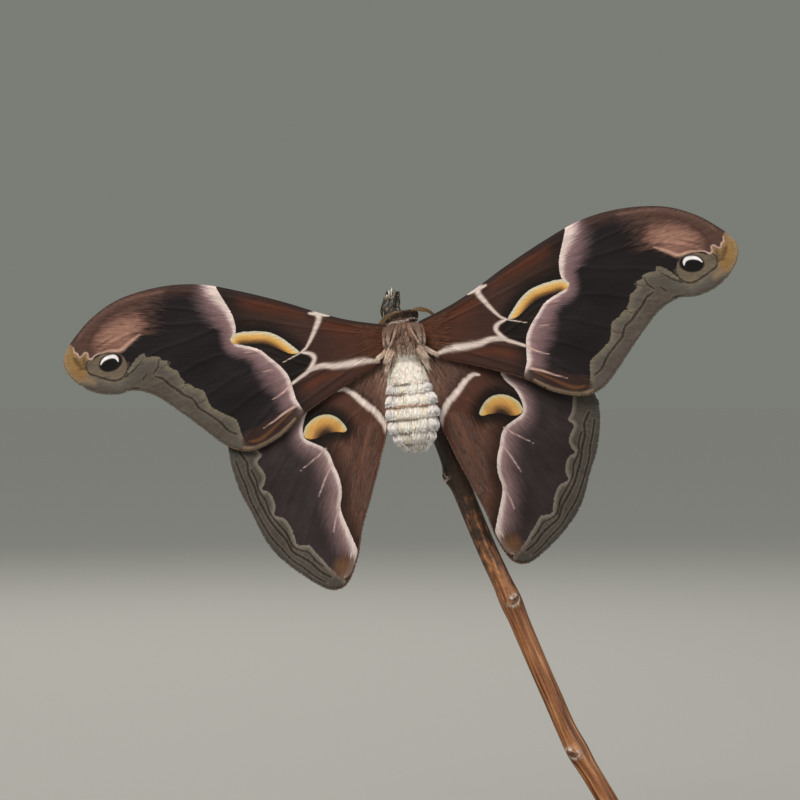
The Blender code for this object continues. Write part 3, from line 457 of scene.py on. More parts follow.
def spline(points, spacing, axes=2):
    """Points about one spacing apart on a smooth curve through the given ones, with any further values."""
    given = np.asarray(points, float)
    ends = np.vstack([2 * given[0] - given[1], given, 2 * given[-1] - given[-2]])
    made = []
    for a, b, c, d in zip(ends, ends[1:], ends[2:], ends[3:]):
        steps = max(1, round(float(np.linalg.norm((c - b)[:axes])) / spacing))
        for t in np.arange(steps) / steps:
            made.append(
                b + (c - a) * (t / 2) + (a * 2 - b * 5 + c * 4 - d) * (t * t / 2)
                + (b * 3 - a - c * 3 + d) * (t * t * t / 2)
            )
    return np.vstack([*made, given[-1]])


def reach(points, line):
    """Each point's distance from a line, and the line's further values at the nearest place."""
    best = np.full(len(points), 1e9)
    carried = np.zeros((len(points), line.shape[1] - 2))
    for a, b in zip(line, line[1:]):
        span = b[:2] - a[:2]
        t = np.clip(((points - a[:2]) @ span) / max(float(span @ span), 1e-9), 0, 1)
        gap = np.hypot(*(points - a[:2] - t[:, None] * span).T)
        near = gap < best
        best[near] = gap[near]
        carried[near] = a[2:] + t[near, None] * (b[2:] - a[2:])
    return best, carried


def within(points, loop):
    """True for each point that lies in a closed loop."""
    hit = np.zeros(len(points), bool)
    for a, b in zip(loop, np.roll(loop, -1, axis=0)):
        spans = (a[1] > points[:, 1]) != (b[1] > points[:, 1])
        rise = b[1] - a[1] if b[1] != a[1] else 1e-9
        hit ^= spans & (points[:, 0] < a[0] + (points[:, 1] - a[1]) * (b[0] - a[0]) / rise)
    return hit


def depth_in(points, loop):
    """Each point's distance from a closed loop's edge, negative outside it."""
    closed = spline([*loop, loop[0]], 0.4)
    return reach(points, closed)[0] * np.where(within(points, closed[:-1]), 1, -1)


def stroke(points, lines):
    """Distance from the nearest of some lines, in half widths of that line: 1 is its edge."""
    best = np.full(len(points), 9.0)
    for line in lines:
        gap, width = reach(points, spline(line, 0.3))
        best = np.minimum(best, gap / (width[:, 0] / 2))
    return best


def waves(points):
    """The sheet's slow waves, from -1 to 1."""
    out, forward = points.T
    return np.sin(out * 0.31 + forward * 0.12) * np.cos(forward * 0.37 - out * 0.06)


def on_sheet(side, wing, flat, rise):
    """Flat wing points in the body's frame, each lifted off the middle sheet towards the belly by its rise.

    A tilted wing bends towards the belly behind, which makes it a little shorter. Close to the abdomen the
    sheet is cut to the body's side, tucked under its wool.
    """
    turn = math.radians(wing["raise"][side])
    tilt = wing["tilt"][side]
    shorter = 1 - (tilt / HIND_LENGTH) ** 2 * TILT_POWER**2 / 4
    out, forward = flat[:, 0], flat[:, 1] * shorter
    x = wing["hinge"][0] + out * math.cos(turn) - forward * math.sin(turn)
    z = wing["hinge"][1] + out * math.sin(turn) + forward * math.cos(turn)
    heights, widths = np.array(ABDOMEN_SIDE).T
    x = np.where(z < heights[-1], np.maximum(x, np.interp(z, heights, widths)), x)
    x = np.maximum(x - wing["tuck"] * np.clip(1 - out / 7, 0, 1) * np.clip((z + 21) / 5, 0, 1), WING_ROOT)
    y = wing["plane"] + WING_DROOP[side] * (x / WING_REACH) ** DROOP_POWER + rise
    y += tilt * (np.maximum(0, -flat[:, 1]) / HIND_LENGTH) ** TILT_POWER
    y += WAVE * waves(flat) * np.clip((x - 5) / 8, 0, 1)
    return np.stack([(-x if side == "left" else x), y, z], axis=1)


def edge_of(wing, spacing):
    """The wing's outline as points, and which of them is its tip."""
    edge = spline(wing["edge"], spacing)
    return edge, int(np.argmin(np.hypot(*(edge - wing["edge"][wing["tip"]]).T)))


def run_of(chain):
    """How far along a chain of points each one lies."""
    return np.concatenate([[0], np.cumsum(np.linalg.norm(np.diff(chain, axis=0), axis=1))])


def follow(at, run, chain):
    """The places on a chain at the given distances along it."""
    return np.stack([np.interp(at, run, values) for values in chain.T], axis=-1)


def wing_grid(wing):
    """The wing's points in its flat frame: a grid wrapped round both faces, between its two edges.

    Each point also has its face, 1 for the belly's side, its distance from the edge and from the veins.
    """
    steps = [np.linspace(0, 1, cells + 1) for cells in (CELLS_ALONG, 2 * CELLS_ACROSS)]
    along, round_way = (found.ravel() for found in np.meshgrid(*steps))
    edge, tip = edge_of(wing, 0.3)
    sides = []
    for chain in (edge[: tip + 1], edge[tip:][::-1]):
        run = run_of(chain)
        sides.append(follow(along, run / run[-1], chain))
    front, rear = sides
    flat = rear + (front - rear) * (1 - np.abs(2 * round_way - 1))[:, None]
    belly = (round_way > 0.5).astype(float)
    veins = np.min([reach(flat, spline(line, 1.0))[0] for line in wing["veins"]], axis=0)
    return flat, belly, reach(flat, edge)[0], veins


def measure(mesh, key, values):
    """Keeps a value for each point of a mesh, which its finish reads."""
    mesh.attributes.new(key, "FLOAT", "POINT").data.foreach_set("value", values.astype(np.float32).ravel())


def wing_mesh(name, side, wing, grid, fields):
    """A thin closed sheet with veins, which carries the pattern's fields."""
    bm = bmesh.new()
    bmesh.ops.create_grid(bm, x_segments=CELLS_ALONG, y_segments=2 * CELLS_ACROSS, size=0.5)
    mesh = bpy.data.meshes.new(name)
    bm.to_mesh(mesh)
    bm.free()
    flat, belly, from_edge, veins = grid
    half = WING_HALF * np.clip(from_edge / EDGE_THINS, 0, 1) ** 0.5
    ridge = VEIN_RISE * np.maximum(0, 1 - veins / VEIN_HALF_WIDTH) * np.clip(from_edge / VEIN_FADES, 0, 1)
    body = on_sheet(side, wing, flat, (half + ridge) * (2 * belly - 1))
    mesh.vertices.foreach_set("co", in_world(body).ravel())
    for key, values in fields.items():
        measure(mesh, key, values)
    bm = bmesh.new()
    bm.from_mesh(mesh)
    bmesh.ops.remove_doubles(bm, verts=bm.verts, dist=1e-7)
    bmesh.ops.holes_fill(bm, edges=[e for e in bm.edges if e.is_boundary])
    bmesh.ops.recalc_face_normals(bm, faces=bm.faces)
    bm.to_mesh(mesh)
    bm.free()
    mesh.shade_smooth()
    return mesh


STREAKS_TRUE = 38.0  # mm out from the wing's heart, where the streaks across it have their true width


def fields_of(grid, wing, lines, patches, eyespot):
    """Measures the pattern at every point of a wing, in mm or in widths, for its finish."""
    flat, belly, from_edge, _ = grid
    white = spline(lines["white"], 0.4)
    gap, carried = reach(flat, white)
    width, dust = carried.T
    far = np.array([(70.0, white[-1, 1] - 30), (70.0, 30.0), (white[0, 0], 30.0)])  # well past the outer edge
    gap = gap * np.where(within(flat, np.vstack([white[:, :2], far])), 1, -1)
    fields = {"belly": belly, "edge": from_edge, "zone": gap}
    fields["white"], fields["dust"] = gap / width, gap / (width + dust)
    for key, found in lines.items():
        if key != "white":
            fields[key] = stroke(flat, found)
    for key, loop in patches.items():
        fields[key] = depth_in(flat, loop)
    fields["ridge"] = reach(flat, spline(patches["crescent"][: wing["front"]], 0.3))[0]
    if eyespot:
        middle, halves, turn = eyespot
        away = (flat - middle) @ np.array(Matrix.Rotation(math.radians(turn), 2))
        fields["eyespot"] = np.hypot(*(away / halves).T)
    edge, tip = edge_of(wing, 0.5)
    fields["costa"] = reach(flat, edge[: tip + 1])[0]
    heart = flat - wing["heart"]
    fields["out"] = np.hypot(*heart.T)
    fields["across"] = np.arctan2(heart[:, 1], heart[:, 0]) * STREAKS_TRUE
    return fields


def reading(tree, field, wobble=None):
    """A field's value, with a wobble added, so that a mark's edge frays with the scales."""
    value = add(tree, "ShaderNodeAttribute", {"attribute_name": field}, {}).outputs["Fac"]
    if wobble is None:
        return value
    return add(tree, "ShaderNodeMath", {"operation": "ADD"}, {0: value, 1: wobble}).outputs[0]


def shades_at(tree, value, stops):
    """The colour, and how thickly it covers, at a reading: each stop is (value, colour, thickness)."""
    low, high = stops[0][0], stops[-1][0]
    part = add(tree, "ShaderNodeMapRange", {}, {0: value, 1: low, 2: high, 3: 0.0, 4: 1.0}).outputs[0]
    ramp = add(tree, "ShaderNodeValToRGB", {}, {0: part})
    band = ramp.color_ramp
    for k, (place, shade, thick) in enumerate(stops):
        share = (place - low) / (high - low)
        stop = band.elements[k] if k < 2 else band.elements.new(share)  # a new ramp has two already
        stop.position = share
        stop.color = (*colour(shade)[:3], thick)
    return ramp.outputs["Color"], ramp.outputs["Alpha"]


def paint(tree, under, value, stops, cover=None):
    """Lays the stops' colours over what is there. cover, a socket from 0 to 1, thins the layer."""
    shade, thick = shades_at(tree, value, stops)
    if cover is not None:
        thick = add(tree, "ShaderNodeMath", {"operation": "MULTIPLY"}, {0: thick, 1: cover}).outputs[0]
    return add(tree, "ShaderNodeMix", {"data_type": "RGBA"}, {0: thick, 6: under, 7: shade}).outputs[2]


def grain_of(tree, place, stretch, detail, **more):
    """A noise whose cells are 1 / stretch long each way, in the units of the place that it is read at."""
    laid = add(tree, "ShaderNodeMapping", {}, {"Vector": place, "Scale": stretch}).outputs[0]
    inputs = {"Vector": laid, "Scale": 1.0, "Detail": detail, **more}
    return add(tree, "ShaderNodeTexNoise", {}, inputs).outputs[0]


NOISE_LOW, NOISE_HIGH = 0.3, 0.7  # nearly all of a noise's values lie between
BELLY_DUST = "#7d6660"


def wing_finish(name, ground, layers):
    """Wing scales: dry, velvety and dull, in rows of streaks that run out from the hinge.

    A real scale is 0.1 mm wide and 0.25 mm long; it is drawn about twice that, so that the grain shows. A
    layer is (field, stops, wobble, cover): the wobble is a grain and its size, the cover "clouds" or a field
    with the values where the layer starts and is whole, and a wobble.
    """
    material, tree, shader = finish(name, 0.66)
    shader.inputs["Specular IOR Level"].default_value = 0.16
    axes = {0: reading(tree, "out"), 1: reading(tree, "across")}
    spot = add(tree, "ShaderNodeCombineXYZ", {}, axes).outputs[0]
    grains = {
        key: grain_of(tree, spot, stretch, detail)
        for key, stretch, detail in (
            ("fray", (1.1, 3.4, 1.0), 3.0), ("rows", (0.32, 1.6, 1.0), 2.0),
            ("clouds", (0.13, 0.22, 1.0), 2.0), ("streak", (0.42, 5.0, 1.0), 2.0),
        )
    }
    wobbles = {None: None}

    def wobble_of(given):
        if given not in wobbles:
            grain, size = given
            ends = {0: grains[grain], 1: NOISE_LOW, 2: NOISE_HIGH, 3: -size, 4: size}
            wobbles[given] = add(tree, "ShaderNodeMapRange", {"clamp": False}, ends).outputs[0]
        return wobbles[given]

    ends = {0: grains["clouds"], 1: NOISE_LOW, 2: NOISE_HIGH, 3: 0.0, 4: 1.0}
    clouds = add(tree, "ShaderNodeMapRange", {}, ends).outputs[0]
    under = add(tree, "ShaderNodeRGB", {}, {}).outputs[0]
    under.default_value = colour(ground)
    for field, stops, wobble, cover in layers:
        thin = clouds if cover == "clouds" else None
        if thin is None and cover:
            key, low, high, edge = cover
            value = reading(tree, key, wobble_of(edge))
            thin = add(tree, "ShaderNodeMapRange", {}, {0: value, 1: low, 2: high, 3: 0.0, 4: 1.0}).outputs[0]
        under = paint(tree, under, reading(tree, field, wobble_of(wobble)), stops, thin)
    for key, change in (("fray", 0.13), ("rows", 0.10), ("streak", 0.10), ("clouds", 0.10)):
        ends = {0: grains[key], 1: NOISE_LOW, 2: NOISE_HIGH, 3: 1 - change, 4: 1 + change}
        tone = add(tree, "ShaderNodeMapRange", {}, ends).outputs[0]
        under = add(tree, "ShaderNodeHueSaturation", {}, {"Value": tone, "Color": under}).outputs[0]
    # the belly's side has the same marks, paler and under a grey dust
    paler = {"Saturation": 0.75, "Value": 1.15, "Color": under}
    over = add(tree, "ShaderNodeHueSaturation", {}, paler).outputs[0]
    mix = {"data_type": "RGBA"}
    over = add(tree, "ShaderNodeMix", mix, {0: 0.35, 6: over, 7: colour(BELLY_DUST)}).outputs[2]
    over = add(tree, "ShaderNodeMix", mix, {0: reading(tree, "belly"), 6: under, 7: over}).outputs[2]
    tree.links.new(over, shader.inputs["Base Color"])
    pair = {0: grains["fray"], 1: grains["rows"]}
    rough = add(tree, "ShaderNodeMath", {"operation": "ADD"}, pair).outputs[0]
    relief = {"Strength": 0.35, "Distance": 0.12 * MM, "Height": rough}
    tree.links.new(add(tree, "ShaderNodeBump", {}, relief).outputs[0], shader.inputs["Normal"])
    return material


# Layers of the scales, from the outer field's ground up. The inner field lies over the outer one, with a
# sharp edge along the white line; NEAR and FAR are covers for the two fields.
NEAR = ("zone", 0.05, -0.05, ("fray", 0.05))
FAR = ("zone", 3.0, 5.0, None)
FORE_LAYERS = (
    ("zone", ((2.0, "#1e1618", 0), (5.0, "#20181a", 0.8), (14.0, "#1d1618", 0.4), (24.0, "#1d1618", 0)),
     None, "clouds"),
    ("dust", ((0.0, "#917576", 1), (0.3, "#866a6b", 1), (0.6, "#775d5e", 0.95), (0.85, "#5c484a", 0.7),
              (1.2, "#33282a", 0)), ("streak", 0.16), None),
    ("dust", ((0.25, "#4a383a", 0), (0.5, "#4a383a", 0.5), (1.1, "#33282a", 0)), ("streak", 0.2), "clouds"),
    ("white", ((0.0, "#d4c1b9", 1), (0.45, "#cbb7b0", 1), (0.7, "#b39b98", 0.7), (1.0, "#98807f", 0)),
     ("streak", 0.18), None),
    ("out", ((2.0, "#62351a", 1), (7.0, "#482819", 1), (14.0, "#3b241d", 1), (22.0, "#36231c", 1),
             (30.0, "#311f19", 1)), ("fray", 0.6), NEAR),
    ("glow", ((0.0, "#552b1a", 0.8), (0.5, "#4c291b", 0.5), (1.1, "#3f251c", 0)), ("streak", 0.25), NEAR),
    ("zone", ((-3.4, "#21150f", 0), (-1.3, "#1e130e", 0.55), (0.0, "#1a110c", 0.9)), ("fray", 0.3), NEAR),
    ("costa", ((0.0, "#1f1715", 0.95), (0.5, "#271c18", 0.7), (1.4, "#2e201a", 0)), ("streak", 0.3), NEAR),
    ("crescent", ((-2.5, "#171009", 0), (-1.1, "#140d09", 0.75), (-0.2, "#0f0a07", 0.97),
                  (0.0, "#0f0a07", 1)), ("streak", 0.35), NEAR),
    ("cell", ((-0.6, "#171009", 0), (0.1, "#130d0a", 0.95)), ("fray", 0.25), NEAR),
    ("bands", ((0.0, "#cfbfb6", 1), (0.6, "#c6b5ab", 0.95), (1.05, "#9c877d", 0.55), (1.6, "#6b5248", 0)),
     ("streak", 0.3), None),
    ("ridge", ((0.0, "#c6bfb0", 1), (0.3, "#c3b899", 1), (0.65, "#d2aa69", 1), (1.15, "#c7964f", 1),
               (1.5, "#a1743a", 1), (1.85, "#6a4a28", 0.95), (2.3, "#2c1e12", 0.9)), ("fray", 0.15),
     ("crescent", -0.06, 0.05, ("fray", 0.06))),
    ("costa", ((0.0, "#3a2923", 1), (0.9, "#422e27", 0.9), (1.9, "#3c2a25", 0.5), (2.9, "#33262a", 0)),
     ("streak", 0.5), FAR),
    ("apex", ((-0.1, "#4b352e", 0), (0.1, "#4e382f", 1), (1.5, "#513a31", 1)), ("fray", 0.12),
     ("out", 43.5, 49.0, ("streak", 2.5))),
    # the apex's pink flush: its colour partly the wing's own pink, partly painted highlight
    ("flush_and_highlight", ((-0.9, "#6b4b41", 0), (0.3, "#7a574b", 0.8), (1.8, "#906a5b", 1)), ("streak", 0.6), None),
    ("light", ((0.0, "#7d5d52", 0.6), (0.8, "#745549", 0.4), (1.8, "#6b4c42", 0)), ("streak", 0.4), None),
    ("shade", ((0.0, "#452d27", 0.85), (0.9, "#4d332c", 0.5), (1.8, "#573a32", 0)), ("streak", 0.4), None),
    ("costa", ((0.0, "#33231f", 0.9), (0.35, "#3c2a25", 0.6), (0.9, "#4a332c", 0)), ("fray", 0.2), FAR),
    # painted highlight: a pale pink line along the lower edge of the apex's pink
    ("rim", ((0.0, "#bf9c8a", 0.95), (0.8, "#aa8472", 0.65), (2.0, "#8d685b", 0)), ("fray", 0.3), None),
    ("margin", ((-0.08, "#5a5148", 0), (0.05, "#696052", 1), (0.6, "#61594c", 1), (1.4, "#504a44", 1),
                (3.2, "#4c443b", 1)), ("fray", 0.1), None),
    ("sand", ((0.0, "#8b7256", 0.8), (0.8, "#7d6850", 0.5), (1.8, "#6a5b49", 0)), ("fray", 0.4), None),
    ("tan", ((-0.3, "#80664a", 0), (0.1, "#82674a", 1), (0.9, "#85663d", 1)), ("fray", 0.12), None),
    ("edge", ((0.0, "#8d775d", 0.9), (0.45, "#897052", 0.6), (1.1, "#85663d", 0)), ("fray", 0.15),
     ("tan", 0.0, 0.4, None)),
    ("halo", ((-0.08, "#5f5245", 0), (0.08, "#655848", 1), (1.0, "#66594a", 1)), ("fray", 0.1), None),
    ("olive", ((0.0, "#4a3a22", 0.85), (1.0, "#55422a", 0.5), (2.0, "#6b5535", 0)), ("fray", 0.3), None),
    ("tornus", ((-0.4, "#33221d", 0), (0.4, "#32211b", 0.9)), ("streak", 0.3), None),
    ("ember", ((0.0, "#6b4426", 0.95), (0.7, "#573823", 0.75), (1.9, "#3a261c", 0)), ("streak", 0.3), None),
    ("buff", ((0.0, "#83705b", 0.95), (0.9, "#715f4e", 0.8), (1.6, "#54443a", 0)), ("fray", 0.3), None),
    ("dark", ((0.0, "#281f17", 0.9), (0.8, "#2c231b", 0.7), (1.5, "#6a6153", 0.4), (2.6, "#5c5347", 0)),
     ("fray", 0.3), None),
    ("pale", ((0.0, "#c5a598", 0.95), (0.8, "#b4958a", 0.7), (1.7, "#8d7069", 0)), ("fray", 0.2), None),
    ("eyespot", ((0.0, "#090706", 1), (0.93, "#0c0908", 1), (1.03, "#3a3026", 0.7), (1.16, "#6d6050", 0)),
     None, None),
    ("glint", ((0.0, "#f0ebea", 1), (0.65, "#e2dcda", 1), (1.05, "#8d8684", 0.75), (1.5, "#3f3b3a", 0)),
     None, None),
)
HIND_LAYERS = (
    ("zone", ((2.0, "#352d2d", 0), (6.0, "#382f2e", 0.8), (16.0, "#322a29", 0)), None, "clouds"),
    ("dust", ((0.0, "#937a78", 1), (0.3, "#826968", 1), (0.55, "#6c5655", 0.9), (0.85, "#4f4040", 0.6),
              (1.2, "#382e2e", 0)), ("streak", 0.16), None),
    ("dust", ((0.25, "#4a3a3a", 0), (0.5, "#4a3a3a", 0.55), (1.1, "#362c2c", 0)), ("streak", 0.2), "clouds"),
    ("white", ((0.0, "#cdbcb5", 1), (0.45, "#c6b4ae", 1), (0.7, "#ad9894", 0.7), (1.0, "#8f7977", 0)),
     ("streak", 0.18), None),
    ("out", ((3.0, "#4c3229", 1), (10.0, "#4a2e25", 1), (20.0, "#553529", 1), (34.0, "#513529", 1)),
     ("fray", 0.6), NEAR),
    ("glow", ((0.0, "#6f4d3f", 0.9), (0.5, "#644536", 0.6), (1.3, "#513529", 0)), ("streak", 0.9), NEAR),
    ("zone", ((-4.6, "#2b1c16", 0), (-1.6, "#261812", 0.6), (0.0, "#20140f", 0.9)), ("streak", 0.4), NEAR),
    ("crescent", ((-2.6, "#171009", 0), (-1.2, "#140d09", 0.8), (-0.2, "#0f0a07", 0.97),
                  (0.0, "#0f0a07", 1)), ("streak", 0.35), NEAR),
    ("bands", ((0.0, "#dccbc2", 1), (0.7, "#d0beb4", 0.95), (1.1, "#a58e83", 0.6), (1.6, "#6b5248", 0)),
     ("streak", 0.5), None),
    ("ridge", ((0.0, "#b9b29a", 1), (0.35, "#bfae82", 1), (0.75, "#c99c55", 1), (1.6, "#b98847", 1),
               (2.3, "#8a6238", 1), (2.9, "#4a3322", 0.95), (3.6, "#241811", 0.9)), ("fray", 0.15),
     ("crescent", -0.06, 0.05, ("fray", 0.06))),
    ("margin", ((-0.08, "#3f3733", 0), (0.04, "#736a60", 1), (0.35, "#6c6359", 1), (0.9, "#474039", 1),
                (4.0, "#45403a", 1)), ("fray", 0.1), None),
    ("spot", ((-1.0, "#412c20", 0), (0.2, "#553a28", 0.85), (1.4, "#62452b", 0.95)), ("streak", 0.5), None),
    ("dark", ((0.0, "#231c17", 0.9), (0.8, "#271f19", 0.7), (1.4, "#686055", 0.45), (2.4, "#575047", 0)),
     ("fray", 0.3), None),
    ("pale", ((0.0, "#c0a6a0", 0.9), (0.8, "#ad938e", 0.6), (1.7, "#8d7069", 0)), ("fray", 0.15), None),
)
for name, wing, lines, patches, eyespot, ground, layers in (
    ("forewing", FORE, FORE_LINES, FORE_PATCHES, EYESPOT, "#150f10", FORE_LAYERS),
    ("hindwing", HIND, HIND_LINES, HIND_PATCHES, None, "#282020", HIND_LAYERS),
):
    scales = wing_finish(f"{name}_scales", ground, layers)
    grid = wing_grid(wing)
    fields = fields_of(grid, wing, lines, patches, eyespot)
    for side in ("left", "right"):
        mesh = wing_mesh(f"{name}_sheet_{side}", side, wing, grid, fields)
        sheet = object_of(f"{name}_sheet_{side}", mesh, scales)
        settle(sheet, f"{name}_scales", f"{name}_{side}")

# The trunk's skin: one closed hide from the abdomen's tip over the thorax to the small head. It is leathery
# and dull, and the coat hides nearly all of it.
SKIN = (  # middle x and y, height, half width, half depth
    (0, 0, -20.6, 0.5, 0.45), (0, 0, -20.2, 1.3, 1.2), (0, 0, -19.2, 2.5, 2.3), (0, 0, -17.4, 3.5, 3.2),
    (0, 0, -15.2, 4.0, 3.6), (0, 0, -12.4, 3.9, 3.5), (0, 0, -9.6, 3.4, 3.1), (0, 0, -6.8, 2.7, 2.5),
    (0, 0, -4.7, 2.1, 1.9), (0, 0, -3.9, 2.3, 2.2), (0, 0, -2.6, 2.9, 3.0), (0, 0, -0.8, 3.2, 3.4),
    (0, 0, 1.2, 3.1, 3.3), (0.15, 0.2, 2.3, 2.6, 2.8), (0.4, 0.9, 3.0, 2.0, 2.3),
    (0.75, 1.6, 3.4, 1.75, 1.95), (0.9, 1.9, 3.95, 1.75, 1.95), (0.9, 1.9, 4.5, 1.5, 1.65),
    (0.9, 1.9, 4.9, 0.85, 1.0), (0.9, 1.9, 5.05, 0.3, 0.35),
)
SKIN_SIDES = 96
HIDE_DARKER = 0.7  # than the coat
ISLAND_START, ISLAND_SIZE = 0.02, 0.96  # the skin's place on its unwrap, both ways
ROW_ENDS = (-8.5, -10.2, -12.6, -14.9, -17.3, -19.3)  # where the abdomen's belts of wool end
BACK_TINTS = (  # height and the colour of the coat there, from the abdomen's tip to the crown
    (-21.0, "#fdf7ee"), (-12.0, "#fdf6e9"), (-8.0, "#fbf2e2"), (-3.4, "#f8ecda"), (-2.6, "#efd9c2"),
    (-2.1, "#c7a189"), (-1.5, "#94725f"), (0.5, "#8a6a59"), (2.3, "#7f5e4d"), (2.9, "#6f5141"),
    (3.1, "#3f2b1f"), (5.0, "#302014"),
)
# the colours at the belts' ends: partly the wool's own orange, partly painted shade in the gaps
GAP_TINTS = ("#b7a294", "#c79a66", "#d99b62", "#cfab72", "#d3bd9f", "#cfbdac")  # below each of those ends

hide = spline(SKIN, 0.2, 3)


def skin_at(turn, z):
    """A point on the skin. The turn is measured from the middle of the back, to the right."""
    x, y, _, width, depth = (np.interp(z, hide[:, 2], values) for values in hide.T)
    return np.stack([x + width * np.sin(turn), y - depth * np.cos(turn), z + 0 * turn], axis=-1)


def unit(vectors):
    """Vectors of length 1."""
    return vectors / np.maximum(np.linalg.norm(vectors, axis=-1, keepdims=True), 1e-9)


def skin_out(turn, z):
    """The way straight out of the skin."""
    round_way = skin_at(turn + 0.02, z) - skin_at(turn - 0.02, z)
    up = skin_at(turn, z + 0.1) - skin_at(turn, z - 0.1)
    return unit(np.cross(round_way, up))


def linear(text):
    """The three parts of a colour that a mesh keeps."""
    return np.array(colour(text)[:3])


def between(shades, part):
    """Colours along a row of stops."""
    stops, texts = zip(*shades)
    return follow(part, stops, np.array([linear(text) for text in texts]))


def body_tint(turn, z):
    """The markings and painted shade that skin and coat share: a colour for each place on the skin."""
    tint = between(BACK_TINTS, z)
    belly = np.clip((np.abs(turn) - 1.9) / 0.5, 0, 1) * np.clip((z + 3.5) / 0.8, 0, 1) * 0.5
    tint = tint + (linear("#6b4c3c") - tint) * belly[..., None]
    # a darker band at each belt's end: partly the wool's own colour, partly painted shade in the gap under
    # the belt
    for end, shade in zip(ROW_ENDS, GAP_TINTS):
        near = np.exp(-(((z - end - 0.05) / 0.22) ** 2)) * 0.8
        tint = tint + (linear(shade) - tint) * near[..., None]
    return tint


def unwrap(turn, z):
    """The place on the skin's own unwrap, its seam along the middle of the belly."""
    u = ISLAND_START + ISLAND_SIZE * (turn / (2 * math.pi) % 1.0 + 0.5) % 1.0
    v = ISLAND_START + ISLAND_SIZE * (z - hide[0, 2]) / (hide[-1, 2] - hide[0, 2])
    return np.stack([u, v], axis=-1)


def coat_finish(name, roughness, sheen):
    """Dry scales and hair: dull, each with its own colour, a little lighter where light grazes them."""
    material, tree, shader = finish(name, roughness)
    tint = add(tree, "ShaderNodeAttribute", {"attribute_name": "tint"}, {}).outputs["Color"]
    tree.links.new(tint, shader.inputs["Base Color"])
    shader.inputs["Specular IOR Level"].default_value = 0.2
    shader.inputs["Sheen Weight"].default_value = sheen
    shader.inputs["Sheen Roughness"].default_value = 0.4
    return material


def sweep(bm, points, halves, sides, way=None):
    """A closed tube of rings with half widths and half depths along points, square to way if given."""
    points = [Vector(p) for p in points]
    side = None
    rings = []
    for k, point in enumerate(points):
        along = Vector(way or points[min(k + 1, len(points) - 1)] - points[max(k - 1, 0)]).normalized()
        side = side or (Vector((0, 1, 0)).cross(along) if abs(along.y) < 0.9 else Vector((1, 0, 0)))
        side = (side - along * side.dot(along)).normalized()
        out = along.cross(side)
        wide, deep = halves[k]
        basis = Matrix((side * wide, out * deep, along)).transposed().to_4x4()
        made = bmesh.ops.create_circle(
            bm, cap_ends=k in (0, len(points) - 1), segments=sides, radius=1.0,
            matrix=Matrix.Translation(point) @ basis,
        )
        rings.append({e for v in made["verts"] for e in v.link_edges})
    for first, second in zip(rings, rings[1:]):
        bmesh.ops.bridge_loops(bm, edges=[*first, *second])
    bmesh.ops.recalc_face_normals(bm, faces=bm.faces)


def to_world(bm):
    """Brings a mesh from the body's frame in mm to the world in metres."""
    bmesh.ops.transform(bm, matrix=Matrix.Scale(MM, 4) @ BODY, verts=bm.verts)


def set_tint(mesh, tints):
    """Gives each point of a mesh its colour."""
    rows = np.hstack([tints, np.ones((len(tints), 1))]).astype(np.float32)
    mesh.attributes.new("tint", "FLOAT_COLOR", "POINT").data.foreach_set("color", rows.ravel())


def places_of(mesh):
    """A mesh's points in the body's frame, in mm."""
    points = np.zeros(len(mesh.vertices) * 3)
    mesh.vertices.foreach_get("co", points)
    turn = np.array(BODY.to_3x3())
    return (points.reshape(-1, 3) / MM - np.array(BODY.translation)) @ turn


bm = bmesh.new()
sweep(bm, hide[:, :3], hide[:, 3:], SKIN_SIDES, way=(0, 0, 1))
to_world(bm)
mesh = mesh_of("body_skin", bm)
spots = places_of(mesh)
middles = follow(spots[:, 2], hide[:, 2], hide[:, :2])
turns = np.arctan2(spots[:, 0] - middles[:, 0], middles[:, 1] - spots[:, 1])
set_tint(mesh, body_tint(turns, spots[:, 2]) * HIDE_DARKER)
body_skin = object_of("body_skin", mesh, coat_finish("moth_hide", 0.8, 0.05))
settle(body_skin, "thorax_hair", "thorax", "abdomen", "head")

# The coat: hair on the thorax and the head, wool in belts and round clumps on the abdomen. Each tuft is a
# thin three-sided blade that grows from the skin and lies back along the body.
draw = np.random.default_rng(7)
UV_HALF = 0.0012  # half of a tuft's small place on the unwrap


def arch(root, bend, tip, t):
    """A place along a smooth arch, whose ends pull towards the bend."""
    return root * (1 - t) ** 2 + bend * (2 * t * (1 - t)) + tip * t * t


